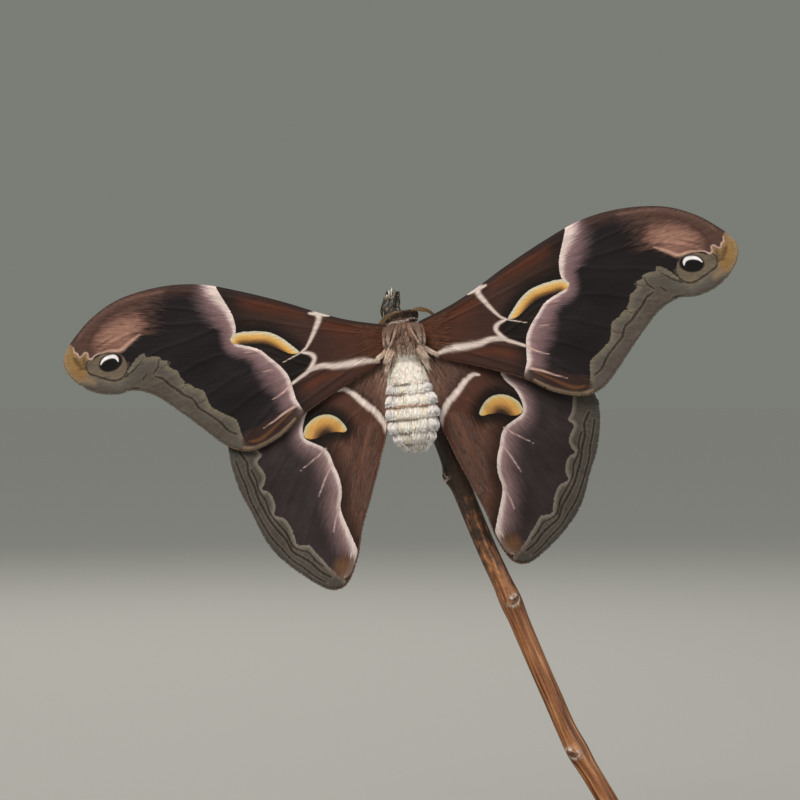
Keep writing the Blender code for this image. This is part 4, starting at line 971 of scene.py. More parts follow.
def tufts(name, slot, material, strands):
    """One piece of coat from many tufts, each given by its root, middle and tip on a smooth arch."""
    root, middle, tip, out, wide, place, low, high = (
        np.concatenate([s[k] for s in strands]) for k in range(8)
    )
    count = len(root)
    bend = middle * 2 - (root + tip) / 2
    along = unit(tip - root)
    side = unit(np.cross(along, out))
    lift = np.cross(side, along)
    corners = np.array([(-1, -0.3), (1, -0.3), (0, 0.6)])
    vertices = np.zeros((count, 10, 3))
    share = np.zeros((count, 10))
    for i, (t, swell) in enumerate(((0.0, 0.75), (0.38, 1.0), (0.72, 0.75))):
        spot = arch(root, bend, tip, t)
        thick = wide * swell / 2
        for j, (a, b) in enumerate(corners):
            vertices[:, i * 3 + j] = spot + (side * a + lift * b) * thick[:, None]
            share[:, i * 3 + j] = t
    vertices[:, 9] = tip
    share[:, 9] = 1.0
    faces = [(i + j, i + (j + 1) % 3, i + 3 + (j + 1) % 3, i + 3 + j) for i in (0, 3) for j in range(3)]
    faces += [(6 + j, 6 + (j + 1) % 3, 9) for j in range(3)] + [(2, 1, 0)]
    ends = np.cumsum([len(face) for face in faces])
    index = np.arange(count)[:, None]
    loops = (np.concatenate(faces) + index * 10).ravel()
    starts = (np.concatenate([[0], ends[:-1]]) + index * ends[-1]).ravel()
    mesh = bpy.data.meshes.new(name)
    mesh.vertices.add(count * 10)
    mesh.vertices.foreach_set("co", in_world(vertices.reshape(-1, 3)).ravel())
    mesh.loops.add(len(loops))
    mesh.loops.foreach_set("vertex_index", loops.astype(np.int32))
    mesh.polygons.add(len(starts))
    mesh.polygons.foreach_set("loop_start", starts.astype(np.int32))
    mesh.update(calc_edges=True)
    across = np.tile([-UV_HALF, UV_HALF, 0.0], (count, 4))[:, :10]
    patch = place[:, None, :] + np.stack([across, share * 2 * UV_HALF - UV_HALF], axis=-1)
    layer = mesh.uv_layers.new(name="OFBake")
    layer.data.foreach_set("uv", patch.reshape(-1, 2)[loops].ravel().astype(np.float32))
    tint = low[:, None, :] + (high - low)[:, None, :] * share[..., None] ** 1.3
    set_tint(mesh, tint.reshape(-1, 3))
    mesh.shade_smooth()
    return settle(object_of(name, mesh, material), slot)


def clump(turn, top, end, half, count, loft, gather, tints, *, blunt, wide, swing=0.0, splay=0.0, vary=0.12):
    """Tufts that start in a patch of skin between two heights and end together, as a lock or a clump.

    half is the patch's half width in mm, loft the clump's height over the skin, gather how far its tips draw
    together, and tints the colours of roots and tips with how far they cover the skin's own. blunt is how
    steeply the clump ends, wide a tuft's width, swing and splay how far the tips lean aside and spread, and
    vary how much the tufts differ in tone.
    """
    radius = float(np.interp(end, hide[:, 2], hide[:, 3] + hide[:, 4])) / 2
    aside = draw.uniform(-1, 1, count)
    z = top + (end - top) * 0.92 * draw.uniform(0, 1, count) ** 0.8
    layer = draw.uniform(0, 1, count)
    round_way = np.sqrt(np.maximum(0.1, 1 - aside**2 * 0.85))
    turn_root = turn + aside * half / radius
    turn_tip = turn + (aside * (1 - gather + splay) * half + swing + draw.normal(0, 0.06, count)) / radius
    z_tip = end + (0.15 + 0.2 * abs(aside)) * draw.uniform(-1, 1, count) + 0.35 * layer * blunt
    z_tip = np.minimum(z_tip, z - min(0.7, (top - end) * 0.6))
    root = skin_at(turn_root, z) - skin_out(turn_root, z) * 0.12
    turn_mid, z_mid = (turn_root + turn_tip) / 2, z * 0.45 + z_tip * 0.55
    out = skin_out(turn_mid, z_mid)
    middle = skin_at(turn_mid, z_mid) + out * (loft * (0.25 + 0.75 * layer) * round_way)[:, None]
    high = loft * (0.1 + (0.15 + 0.75 * blunt) * layer) * round_way
    tip = skin_at(turn_tip, z_tip) + skin_out(turn_tip, z_tip) * high[:, None]
    base = body_tint(turn_root, z)
    low, high = (base * (1 - part) + linear(shade) * part for shade, part in tints)
    tone = np.exp(draw.normal(0, vary, count))[:, None]
    width = wide * draw.uniform(0.7, 1.25, count)
    return root, middle, tip, out, width, unwrap(turn_root, z), low * tone, high * tone


def round_body(row, count, loose):
    """The turns of a row of locks all round the body, set between those of the row above."""
    for k in range(count):
        yield 2 * math.pi * (k + 0.5 * (row % 2) + draw.uniform(-loose, loose)) / count - math.pi


hair = coat_finish("moth_hair", 0.75, 0.12)  # fine and dull, with hardly any gloss
wool = coat_finish("moth_wool", 0.85, 0.6)  # soft and white, brighter at its edges

# thorax: staggered locks that lie back, with none where the wings' roots leave the skin
backs, bellies = [], []
for row, z in enumerate(np.arange(3.05, -1.4, -0.42)):
    for turn in round_body(row, 22, 0.25):
        spot = skin_at(np.array([turn]), np.array([z]))[0]
        if abs(spot[1]) < 1.15:
            continue
        light = draw.uniform(0, 1)
        tip = "#e6c7b2" if light > 0.75 else "#ae8d7a" if light > 0.3 else "#7d5f4f"
        low = "#8b6c5c" if light > 0.3 else "#5d4437"
        tints = ((low, 0.6), ("#efdac6" if z < -0.7 else tip, 0.85))
        end = max(z - draw.uniform(1.4, 2.1), -3.0)
        swing = draw.uniform(-0.3, 0.3)
        lock = clump(turn, z, end, 0.42, 92, 0.7, 0.75, tints, blunt=0.3, wide=0.07, swing=swing)
        (backs if abs(turn) < math.pi / 2 else bellies).append(lock)

# the collar: a thin pale fringe behind the head, higher on the right
for k in range(36):
    turn = 3.5 * ((k + draw.uniform(-0.2, 0.2)) / 35 - 0.5)
    level = 3.05 + 0.35 * math.sin(turn)
    tints = (("#d9bcab", 0.9), ("#fbe9df" if draw.uniform() > 0.4 else "#ecd0c1", 0.95))
    backs.append(clump(turn, level + 0.15, level - 0.2, 0.24, 42, 0.5, 0.1, tints, blunt=0.6, wide=0.08))

tufts("coat_thorax_back", "thorax_hair", hair, backs)
tufts("coat_thorax_belly", "thorax_hair", hair, bellies)

# abdomen: smooth hair to the first row's end, then low belts of wool with round clumps down each side
smooth, sides = [], []
for row, (z, end) in enumerate((
    (-2.3, -4.3), (-3.0, -5.1), (-3.8, -6.0), (-4.6, -6.9), (-5.4, -7.7), (-6.2, -8.3), (-6.9, -8.6),
)):
    for turn in round_body(row, 14, 0.2):
        flank = math.exp(-(((abs(turn) - 1.5) / 0.55) ** 2)) * min(1, max(0, -3.0 - z) / 2)
        tints = (("#f6eadb", 0.9), ("#fffaf0" if draw.uniform() > 0.3 else "#f8e6d9", 0.9))
        loft = 0.4 + flank * (0.75 if turn < 0 else 0.45)
        tip = end + draw.uniform(-0.2, 0.2)
        smooth.append(clump(turn, z, tip, 0.85, 122, loft, 0.1, tints, blunt=0.15, wide=0.1, vary=0.04))
tufts("coat_abdomen_waist", "abdomen_wool", wool, smooth)
tops = (-7.9, -9.8, -12.1, -14.4, -16.9, -18.7)
ends = (*ROW_ENDS[1:], -20.9)
for row, (top, end) in enumerate(zip(tops, ends)):
    radius = float(np.interp(end, hide[:, 2], hide[:, 3] + hide[:, 4])) / 2 + 0.3
    lumps, thickly = (5, 52) if row < 5 else (4, 130)  # in half a belt, and tufts to a square mm
    belts = []
    for half_turn, middle in ((0.78, 0.0), (0.74, math.pi)):
        for k in range(lumps):
            turn = middle + half_turn * (2 * (k + 0.5) / lumps - 1) + draw.uniform(-0.04, 0.04)
            half = half_turn / lumps * radius * 1.15
            tints = (("#f8efe2", 0.8), ("#fffbf4" if draw.uniform() > 0.35 else "#fbf0d6", 0.9))
            count = int((top - end) * half * 2 * thickly)
            swing = draw.uniform(-0.1, 0.1)
            belts.append(clump(
                turn, top, end, half, count, 0.45, 0.04, tints, blunt=0.5, wide=0.11, swing=swing, vary=0.04
            ))
    tufts(f"coat_abdomen_belt_{row + 1}", "abdomen_wool", wool, belts)
    half = 0.36 * radius
    count = int((top - end) * half * 2 * 60)
    tints = (("#f4e9e2", 0.9), ("#fffdfa", 0.95))
    for turn, loft in ((-1.2, 1.0), (1.2, 1.3 if row else 0.7), (-1.92, 1.0), (1.92, 1.2)):
        sides.append(clump(
            turn, top, end + 0.2, half, count, loft, 0.0, tints, blunt=0.9, wide=0.12, splay=0.25, vary=0.04
        ))

# hair in the gaps between the belts, partly the wool's own orange and gold and partly painted shade in the
# gaps: its first and last turn, and its colour
for k, (left, right, shade) in enumerate((
    (-1.5, 0.1, "#9a8976"), (-1.4, -0.2, "#8a5c34"), (-1.6, 1.0, "#bd8050"), (-1.5, 0.2, "#96763f"),
    (-0.7, -0.2, "#75675a"), (-0.6, -0.2, "#6d5f53"),
)):
    for turn in np.arange(left, right, 0.12):
        level = ROW_ENDS[k] + 0.1 * math.sin(3 * turn + k)
        tints = ((shade, 0.9), (shade, 0.75))
        sides.append(clump(turn, level + 0.25, level - 0.22, 0.24, 20, 0.62, 0.0, tints, blunt=0.8, wide=0.1))
tufts("coat_abdomen_sides", "abdomen_wool", wool, sides)

# the shoulders: a lobe of long hair over each forewing's base, with pale tips, and palps below the face
SHOULDERS = (  # tufts, taper, tints, and lobes: root, bend and tip on the right, half width and half depth
    (1000, 0.9, ("#6b5143", "#8d6e5d", "#f6dac8"), (
        ((2.1, -2.9, 2.5), (3.0, -3.3, 0.8), (3.0, -3.1, -1.5), 0.85, 0.45),
        ((2.9, -2.1, 2.2), (3.8, -2.5, 0.5), (3.7, -2.4, -1.8), 0.65, 0.4),
    )),
    (400, 0.9, ("#93725f", "#c7a591", "#f6dac8"), (
        ((1.3, -3.4, 1.7), (1.8, -3.8, 0.2), (3.0, -3.2, -1.9), 0.28, 0.2),
    )),
    (620, 0.6, ("#b99782", "#e3cab6", "#efdcc9"), (
        ((2.0, -2.4, -1.4), (2.9, -2.7, -2.7), (4.2, -1.7, -5.0), 0.95, 0.35),
        ((2.7, -1.8, -1.7), (4.1, -1.9, -2.7), (6.4, -1.1, -4.2), 0.6, 0.25),
        ((2.2, -1.9, -2.2), (3.3, -2.0, -4.2), (4.3, -1.0, -7.0), 0.6, 0.25),
    )),
)
PALPS = (
    ((0.45, 3.5, 3.7), (0.4, 4.15, 3.35), (0.4, 4.5, 2.75)),
    ((1.35, 3.5, 3.7), (1.4, 4.15, 3.35), (1.4, 4.5, 2.75)),
)


def bundle(points, half_wide, half_thick, count, tints, wide, taper=0.5, part=0.5, up=(0, -1, 0)):
    """A lobe of tufts along an arch, each covering a part of it. tints holds root, middle and end colours."""
    root, bend, tip = (np.array(p, float) for p in points)
    start = draw.uniform(0, 1 - part, count)
    across, layer = draw.uniform(-1, 1, count), draw.uniform(0, 1, count)
    out = unit(np.array(up, float) + 0 * start[:, None])
    side = unit(np.cross(tip - root, out))

    def at(t, extra):
        t = t[:, None]
        high = layer[:, None] * np.sqrt(1 - across[:, None] ** 2 * 0.8) * half_thick + extra
        return arch(root, bend, tip, t) + side * across[:, None] * half_wide * (1 - taper * t) + out * high

    end = start + part * draw.uniform(0.75, 1.0, count)
    rooted, middle, tipped = at(start, 0.0), at((start + end) / 2, 0.12), at(end, 0.05)
    tipped = tipped + draw.normal(0, 0.05 + 0.1 * end, (3, count)).T
    pale = np.clip((end + draw.normal(0, 0.1, count) - 0.6) / 0.35, 0, 1)[:, None]
    low, mid, high = (linear(t) for t in tints)
    tone = np.exp(draw.normal(0, 0.12, count) + 0.16 * np.sin(across * 7 + root[0] * 9))[:, None]
    place = unwrap(np.arctan2(rooted[:, 0], -rooted[:, 1]), rooted[:, 2])
    width = wide * draw.uniform(0.7, 1.3, count)
    low, high = (low + (mid - low) * pale) * tone, (mid + (high - mid) * pale) * tone
    return rooted, middle, tipped, out, width, place, low, high


lobes = []
for hand in (-1, 1):
    for count, taper, tints, shapes in SHOULDERS:
        for *points, half_wide, half_thick in shapes:
            points = [(hand * x, y, z) for x, y, z in points]
            lobes.append(bundle(points, half_wide, half_thick, count, tints, 0.075, taper, 0.45))
for points in PALPS:
    lobes.append(bundle(points, 0.28, 0.3, 150, ("#3a281a", "#4c3625", "#6b5038"), 0.09, up=(0, 0.3, 1)))
tufts("coat_shoulders", "thorax_hair", hair, lobes)

# The head: small and bent under the thorax's front, in short dark hair that is shortest on the face, with
# two round compound eyes.
HEAD_MIDDLE = (0.9, 1.9, 3.9)
EYE_RADIUS = 0.85
EYE_OUT = (1.45, 0.7, 0.3)  # from the head's middle, on the right
FACET = 0.06
ANTENNAE = {
    "right": (
        (1.3, 1.0, 4.7), (2.2, 0.8, 5.0), (3.4, 1.3, 4.95), (4.6, 2.4, 4.7), (5.7, 3.8, 4.1), (6.6, 5.3, 3.1),
    ),
    "left": (
        (0.1, 1.0, 4.7), (-0.9, 0.6, 4.8), (-2.2, 0.9, 4.4), (-3.5, 1.9, 3.6), (-4.8, 3.2, 2.4),
        (-5.9, 4.5, 1.2),
    ),
}
eyes = [np.array(HEAD_MIDDLE) + (hand * EYE_OUT[0], *EYE_OUT[1:]) for hand in (-1, 1)]
locks = []
for row, (top, end) in enumerate((
    (5.05, 4.5), (4.75, 4.1), (4.4, 3.8), (4.1, 3.5), (3.85, 3.25), (3.6, 3.0),
)):
    for turn in round_body(row, 18, 0.2):
        face = abs(turn) > 1.6
        light = draw.uniform() - 0.25 * math.sin(turn)
        shade = "#8a6a52" if light > 0.75 else "#5e4433" if light > 0.4 else "#33231a"
        tints = (("#1f140c", 0.9), (shade, 0.95))
        swing = draw.uniform(-0.2, 0.2)
        loft, wide = (0.2, 0.07) if face else (0.5, 0.09)
        lock = clump(turn, top, end, 0.34, 70, loft, 0.5, tints, blunt=0.9, wide=wide, swing=swing, vary=0.25)
        keep = np.all([np.linalg.norm(lock[0] - eye, axis=1) > EYE_RADIUS + 0.05 for eye in eyes], axis=0)
        for line in ANTENNAE.values():
            keep &= np.linalg.norm(lock[0] - line[0], axis=1) > 0.3
        locks.append(tuple(part[keep] for part in lock))
tufts("coat_head", "head_hair", hair, locks)

# polished horn, nearly black, with the grain of the facets in its glint
eye_horn, tree, shader = finish("eye_horn", 0.22)
shader.inputs["Base Color"].default_value = colour("#16100c")
spot = add(tree, "ShaderNodeTexCoord", {}, {}).outputs["Object"]
facets = add(tree, "ShaderNodeTexVoronoi", {}, {"Vector": spot, "Scale": 1 / (FACET * MM)})
relief = {"Strength": 0.4, "Distance": 0.01 * MM, "Height": facets.outputs["Distance"]}
tree.links.new(add(tree, "ShaderNodeBump", {"invert": True}, relief).outputs[0], shader.inputs["Normal"])
for side, middle in zip(("left", "right"), eyes):
    bm = bmesh.new()
    bmesh.ops.create_icosphere(bm, subdivisions=5, radius=EYE_RADIUS, matrix=Matrix.Translation(middle))
    to_world(bm)
    settle(object_of(f"compound_eye_{side}", mesh_of(f"eye_{side}", bm), eye_horn), "eye", f"eye_{side}")

# The feelers: combs with a thin shaft and two ranks of fine horny rays, springy and brown, each set in the
# head beside its eye.
SHAFT_RADIUS = 0.17
COMB_REACH = 2.0
COMB_TILT = math.radians(17)  # the combs' flat sides are turned to the front by this
RAYS = 110
horn = coat_finish("feeler_horn", 0.5, 0.05)


def limb(name, line, radii, sides, shade, material, slot, node):
    """A horny tube along a line of the body's frame, all in one colour."""
    bm = bmesh.new()
    sweep(bm, line, np.stack([radii, radii], axis=1), sides)
    to_world(bm)
    mesh = mesh_of(name, bm)
    set_tint(mesh, np.tile(linear(shade), (len(mesh.vertices), 1)))
    settle(object_of(name, mesh, material), slot, node)


for side, points in ANTENNAE.items():
    line = spline(points, 0.15, 3)
    radii = np.linspace(SHAFT_RADIUS, 0.06, len(line))
    limb(f"feeler_shaft_{side}", line, radii, 12, "#6b4f2c", horn, "antenna", f"antenna_{side}")
    share = np.repeat(np.linspace(0.06, 0.985, RAYS), 2)
    hand = np.tile([-1.0, 1.0], RAYS)
    index = np.round(share * (len(line) - 2)).astype(int)
    root = line[index]
    along = unit(line[index + 1] - line[index])
    flat = unit(np.array([0, 1, 0]) - along * along[:, 1:2])
    tilt = COMB_TILT if side == "right" else -COMB_TILT
    flat = flat * math.cos(tilt) + np.cross(along, flat) * math.sin(tilt)
    long = (COMB_REACH * np.sin(math.pi * np.minimum(1, 0.06 + share * 0.88)) ** 0.7)[:, None]
    way = flat * hand[:, None]
    tip = root + way * long + along * 0.4
    middle = root + way * long * 0.55 + along * 0.12
    place = np.stack([0.5 + 0.2 * hand, share], axis=1)
    low, high = (np.tile(linear(shade), (len(root), 1)) for shade in ("#4a3718", "#664e2c"))
    rays = (root, middle, tip, along, np.full(len(root), 0.13), place, low, high)
    tufts(f"feeler_rays_{side}", "antenna", horn, [rays])

# The six legs: horny, jointed and clad in brown scales. Each foot curls round the twig and holds it with a
# pair of hooked claws.
TWIG_LINE = (
    (-20.0, 123.2), (-20.4, 119.6), (-17.8, 113.7), (-13.6, 103.5), (-9.9, 94.3), (-6.3, 85.0), (-2.5, 75.8),
    (1.8, 66.5), (5.7, 57.3), (9.8, 48.0), (14.0, 38.8), (20.1, 28.5), (26.4, 17.8),
)
TWIG_RADIUS = 1.85
LEGS = {  # root and knee on the right, and the height at which the foot holds on
    "front": ((1.2, 2.9, 2.0), (3.3, 5.6, 0.9), 3.4),
    "mid": ((1.6, 3.1, -0.3), (4.7, 5.6, -0.6), -1.2),
    "hind": ((1.2, 2.9, -2.4), (4.3, 5.5, -4.4), -5.6),
}
LEG_RADII = (0.5, 0.52, 0.4, 0.42, 0.32, 0.3, 0.28, 0.26)
FOOT = ((50, 0.0), (80, 0.2), (110, 0.6), (135, 1.0))  # how it curls round the twig: degrees, and mm down
FOOT_OFF = 0.83  # from the bark to the foot's middle
FUZZ = 420
leg_scales = coat_finish("leg_scales", 0.6, 0.1)
for name, (root, knee, hold) in LEGS.items():
    for side, hand in (("left", -1), ("right", 1)):
        root_at, knee_at = (np.array((hand * p[0], *p[1:])) for p in (root, knee))
        points = [root_at, (root_at + knee_at) / 2, knee_at, None]
        for turn, drop in FOOT:
            angle = math.radians(turn)
            height = BODY_PLACE[2] + hold - drop
            x = float(np.interp(-height, [-z for _, z in TWIG_LINE], [x for x, _ in TWIG_LINE]))
            twig_middle = np.array(BODY.inverted() @ Vector((x, 0, height)))
            way = np.array((hand * math.sin(angle), -math.cos(angle), 0))
            points.append(twig_middle + way * (TWIG_RADIUS + FOOT_OFF))
        points[3] = (knee_at + points[4]) / 2
        rows = spline([(*p, r) for p, r in zip(points, LEG_RADII)], 0.12, 3)
        run = np.linspace(0, 7, len(rows))
        beads = np.where(run > 3.6, 1 - 0.18 * np.abs(np.sin(run * math.pi * 1.4)) ** 6, 1)
        waist = 1 - 0.25 * np.exp(-(((run - 2) / 0.12) ** 2)) - 0.2 * np.exp(-(((run - 3.6) / 0.1) ** 2))
        thick = rows[:, 3] * beads * waist * 0.92
        piece = f"leg_{name}_{side}"
        limb(f"{piece}_horn", rows[:, :3], thick, 20, "#46301f", leg_scales, "leg_scales", piece)
        spot = draw.uniform(0.02, 0.8, FUZZ) ** 1.2 * (len(rows) - 8)
        index = spot.astype(int)
        ring = draw.uniform(0, 2 * math.pi, FUZZ)
        along = unit(rows[index + 3, :3] - rows[index, :3])
        first = unit(np.cross(along, (0.3, 0.9, 0.2)))
        out = first * np.cos(ring)[:, None] + np.cross(along, first) * np.sin(ring)[:, None]
        base = rows[index, :3] + out * thick[index][:, None] * 0.9
        long = (0.95 - 0.5 * spot / len(rows))[:, None] * draw.uniform(0.7, 1.2, FUZZ)[:, None]
        middle = base + along * long * 0.5 + out * 0.16
        tip = base + along * long + out * 0.14
        place = np.stack([0.02 + 0.96 * ring / (2 * math.pi), 0.02 + 0.9 * spot / len(rows)], axis=1)
        tone = np.exp(draw.normal(0, 0.15, FUZZ))[:, None]
        low, high = linear("#3d2a1c") * tone, linear("#8a6a50") * tone
        fuzz = (base, middle, tip, out, np.full(FUZZ, 0.11), place, low, high)
        end = rows[-1, :3]
        along, out = unit(end - rows[-4, :3]), unit(twig_middle - end)
        sideways = np.cross(along, out)
        apart = np.array([[-1.0], [1.0]])
        base = end - along * 0.1 + sideways * apart * 0.1
        middle = base + along * 0.35 + out * 0.02 + sideways * apart * 0.08
        tip = base + along * 0.5 + out * 0.32 + sideways * apart * 0.14
        low, high = (np.tile(linear(shade), (2, 1)) for shade in ("#2a1c12", "#1c120b"))
        claws = (base, middle, tip, np.tile(-out, (2, 1)), np.full(2, 0.16), np.full((2, 2), 0.97), low, high)
        tufts(f"{piece}_fuzz", "leg_scales", leg_scales, [fuzz, claws])

# The wings' own hair and fringe: long hair that flows out from their roots and down the hindwing's inner
# field, and a fringe of scales all along the outer and inner edges.
FORE_FRINGE = ((0.0, "#8a7048"), (0.04, "#8a7048"), (0.1, "#66594a"), (0.2, "#5e574c"), (0.5, "#5c544a"),
               (0.54, "#66523f"), (0.66, "#6e5a45"), (0.72, "#54392b"), (1.0, "#43291f"))
HIND_FRINGE = ((0.0, "#45403a"), (0.43, "#57504a"), (0.46, "#5e4634"), (0.52, "#5a4032"), (0.75, "#6a4c40"),
               (1.0, "#8a6a5a"))
PALE_BAND = (  # how far down from the hinge and how far out it runs: hair keeps clear of it
    (5.1, 6.2, 7.4, 8.3, 9.5, 10.7, 12.1, 13.4, 15.0),
    (9.6, 7.3, 6.2, 5.3, 4.3, 3.5, 2.9, 2.5, 2.1),
)
FRINGE_STEP = 0.085  # from scale to scale along the edge
FLAT_LOW, FLAT_SIZE = (-2.0, -43.0), (64.0, 61.0)  # the box round a wing's flat frame


def wing_hair(side, wing, spots, ways, long, face, loft, tints, wide):
    """Hair that lies on one face of a wing: -1 is the back's and 1 the belly's."""
    count = len(spots)
    root = on_sheet(side, wing, spots, face * WING_HALF * 0.6)
    middle = on_sheet(side, wing, spots + ways * long[:, None] * 0.5, face * (WING_HALF + loft))
    tip = on_sheet(side, wing, spots + ways * long[:, None], face * (WING_HALF + loft * 0.7))
    out = np.tile((0.0, face, 0.0), (count, 1))
    u, v = ((spots - FLAT_LOW) / FLAT_SIZE).T
    island = ISLAND_START if face < 0 else 0.51  # the two faces lie side by side
    place = np.stack([island + 0.46 * u, ISLAND_START + ISLAND_SIZE * v], axis=1)
    tone = np.exp(draw.normal(0, 0.13, count))[:, None]
    width = wide * draw.uniform(0.7, 1.3, count)
    return root, middle, tip, out, width, place, tints[0] * tone, tints[1] * tone


def fringe(side, wing, shades):
    """Scales that stand out from the edge, from just before the wing's tip to its root behind."""
    edge, tip = edge_of(wing, 0.1)
    edge = edge[tip - 25 :]
    run = run_of(edge)
    count = int(run[-1] / FRINGE_STEP)
    made = []
    for layer in (-0.05, 0.05):
        at = np.sort(draw.uniform(0, run[-1], count))
        spots, ahead, behind = (follow(at + past, run, edge) for past in (0.0, 0.4, -0.4))
        along = unit(ahead - behind)
        ways = unit(along[:, ::-1] * (1, -1) + along * draw.normal(0, 0.25, count)[:, None])
        if within(spots[40:41] + ways[40:41] * 0.5, edge)[0]:
            ways = -ways
        spots = spots - ways * 0.4
        tints = between(shades, at / run[-1])
        long = draw.uniform(0.55, 0.72, count)
        # the tips 8% lighter than the roots: painted shade at the roots
        made.append(wing_hair(side, wing, spots, ways, long, layer, 0.0, (tints, tints * 1.08), 0.18))
    return made


for side in ("left", "right"):
    strands = fringe(side, FORE, FORE_FRINGE)
    for face in (-1.0, 1.0):
        # short reddish hair on the forewing's root
        count = 700
        spots = np.stack([draw.uniform(-0.6, 4.6, count), draw.uniform(-1, 1, count)], axis=1)
        front = np.interp(spots[:, 0], (-1, 5.7), (1.5, 3.4))
        rear = np.interp(spots[:, 0], (-1, 5), (-2.6, -3.6))
        spots[:, 1] = (front + rear) / 2 + spots[:, 1] * (front - rear) / 2
        spots = spots[draw.uniform(0, 1, count) > (spots[:, 0] / 4.6) ** 1.5]
        ways = unit(spots - np.array([-6.0, 1.0]) + draw.normal(0, 0.4, spots.shape))
        long = draw.uniform(1.2, 2.2, len(spots))
        reds = between(((0.0, "#6e4630"), (0.5, "#64391f"), (1.0, "#54301f")), draw.uniform(0, 1, len(spots)))
        # the roots a tenth darker than the tips: painted shade where the hair meets the wing
        strands.append(wing_hair(side, FORE, spots, ways, long, face, 0.1, (reds * 0.9, reds), 0.08))
    tufts(f"forewing_hair_{side}", "forewing_scales", hair, strands)
    strands = fringe(side, HIND, HIND_FRINGE)
    for face in (-1.0, 1.0):
        # long hair beside the body, palest at the hindwing's inner edge
        count = 2600
        down = draw.uniform(0, 1, count)
        spots = np.stack([np.zeros(count), 0.4 - 12.0 * down], axis=1)
        inner = np.interp(spots[:, 1], (-18.5, -11, -4.4, 0.9), (3.6, 2.4, 0.9, -0.4))
        outer = np.interp(spots[:, 1], (-14, -11.5, -8, -4, 0.5), (2.6, 2.9, 4.9, 7.5, 7.5))
        aside = draw.uniform(0, 1, count) ** 1.2
        spots[:, 0] = inner + aside * (outer - inner)
        lean = 0.12 + 0.5 * aside * (1 - down) + draw.normal(0, 0.05, count)
        ways = unit(np.stack([lean, -np.ones(count)], axis=1))
        long = draw.uniform(1.6, 2.8, count) * np.interp(down, (0, 0.6, 1), (1, 0.8, 0.5))
        tints = between(((0.0, "#dcc0aa"), (0.2, "#a88370"), (0.5, "#755345"), (1.0, "#4b332a")),
                        np.clip(aside * 0.8 + down * 0.4 + draw.normal(0, 0.1, count), 0, 1))
        ends = spots + ways * long[:, None]
        clear = ends[:, 0] < np.interp(-ends[:, 1], *PALE_BAND) - 0.55
        spots, ways, long, tints = spots[clear], ways[clear], long[clear], tints[clear]
        # the roots a tenth darker than the tips: painted shade where the hair meets the wing
        strands.append(wing_hair(side, HIND, spots, ways, long, face, 0.1, (tints * 0.9, tints), 0.08))

        # sparser brown hair past the pale band
        count = 700
        down = draw.uniform(0, 1, count)
        spots = np.stack([np.zeros(count), -11.0 - 15.0 * down], axis=1)
        inner = np.interp(spots[:, 1], (-30.8, -24.6, -18.5, -14.5, -9), (8.8, 6.3, 4.0, 3.1, 3.6))
        spots[:, 0] = inner + draw.uniform(0, 1, count) ** 1.4 * np.interp(down, (0, 0.3, 1), (4.0, 6.0, 2.5))
        spots = spots[spots[:, 0] > np.interp(-spots[:, 1], *PALE_BAND) + 0.7]
        count = len(spots)
        ways = unit(np.stack([0.34 + draw.normal(0, 0.05, count), -np.ones(count)], axis=1))
        long = draw.uniform(2.2, 4.0, count)
        tints = between(((0.0, "#7c5a4b"), (0.5, "#664639"), (1.0, "#56392e")), draw.uniform(0, 1, count))
        # the roots a tenth darker than the tips: painted shade where the hair meets the wing
        strands.append(wing_hair(side, HIND, spots, ways, long, face, 0.05, (tints * 0.9, tints), 0.06))
    tufts(f"hindwing_hair_{side}", "hindwing_scales", hair, strands)

# The perch: a short cut length of a dead twig, its foot in the stand's cup. It has smooth brown bark with
# lengthwise wrinkles, bud scars with pale rims that are partly painted highlight, and a broken, weathered top
# with loose fibres.
TWIG_BUDS = ((89.7, -80.0), (65.6, 15.0), (37.6, -25.0))
TWIG_SIDES = 72
rows = spline([(x, 0.0, z) for x, z in TWIG_LINE], 0.45, 3)
run = run_of(rows)[:, None]
# thicker at each bud, and worn thin at the broken top
swell = sum(0.25 * np.exp(-(((rows[:, 2] - z) / 2.5) ** 2)) for z, _ in TWIG_BUDS)
worn = np.maximum(0, (rows[:, 2] - 120.5) / 2.7) * 0.5
thick = TWIG_RADIUS + swell - worn
bm = bmesh.new()
sweep(bm, rows, np.stack([thick, thick], axis=1), TWIG_SIDES)
bmesh.ops.transform(bm, matrix=Matrix.Scale(MM, 4), verts=bm.verts)
mesh = mesh_of("perch_bark", bm)
spots = np.zeros(len(mesh.vertices) * 3)
mesh.vertices.foreach_get("co", spots)
spots = spots.reshape(len(rows), TWIG_SIDES, 3) / MM
away = unit(spots - rows[:, None, :])
turn = np.arctan2(away[..., 0], -away[..., 1])
high = np.broadcast_to(rows[:, None, 2], turn.shape)
wrinkle = 0.035 * np.sin(turn * 9 + 1.3 * np.sin(run * 0.13)) + 0.025 * np.sin(turn * 17 + run * 0.11)
groove = 0.16 * np.exp(-(((turn - 0.25 - 0.02 * np.sin(run * 0.2)) / 0.12) ** 2))
groove = groove * np.clip((63 - high) / 4, 0, 1)  # it runs out halfway up
rough = 0.14 * np.clip((high - 105) / 10, 0, 1)
rough = rough * np.sin(turn * 5 + run * 2.1) * np.sin(turn * 3 - run * 1.3)
scar = np.full(turn.shape, 9.0)
knob = np.zeros(turn.shape)
for z, degrees in TWIG_BUDS:
    aside = ((turn - math.radians(degrees) + math.pi) % (2 * math.pi) - math.pi) * TWIG_RADIUS
    way = np.arctan2(aside, high - z)
    here = np.hypot(aside, (high - z) * 0.75)
    scar = np.minimum(scar, here * (1 + 0.3 * np.sin(2 * way + degrees)))
    here = here * (1 + 0.18 * np.sin(3 * way + degrees))
    knob += 0.75 * np.exp(-((here / 0.95) ** 2)) - 0.3 * np.exp(-((here / 0.35) ** 2))
spots += away * (wrinkle - groove + rough + knob)[..., None]
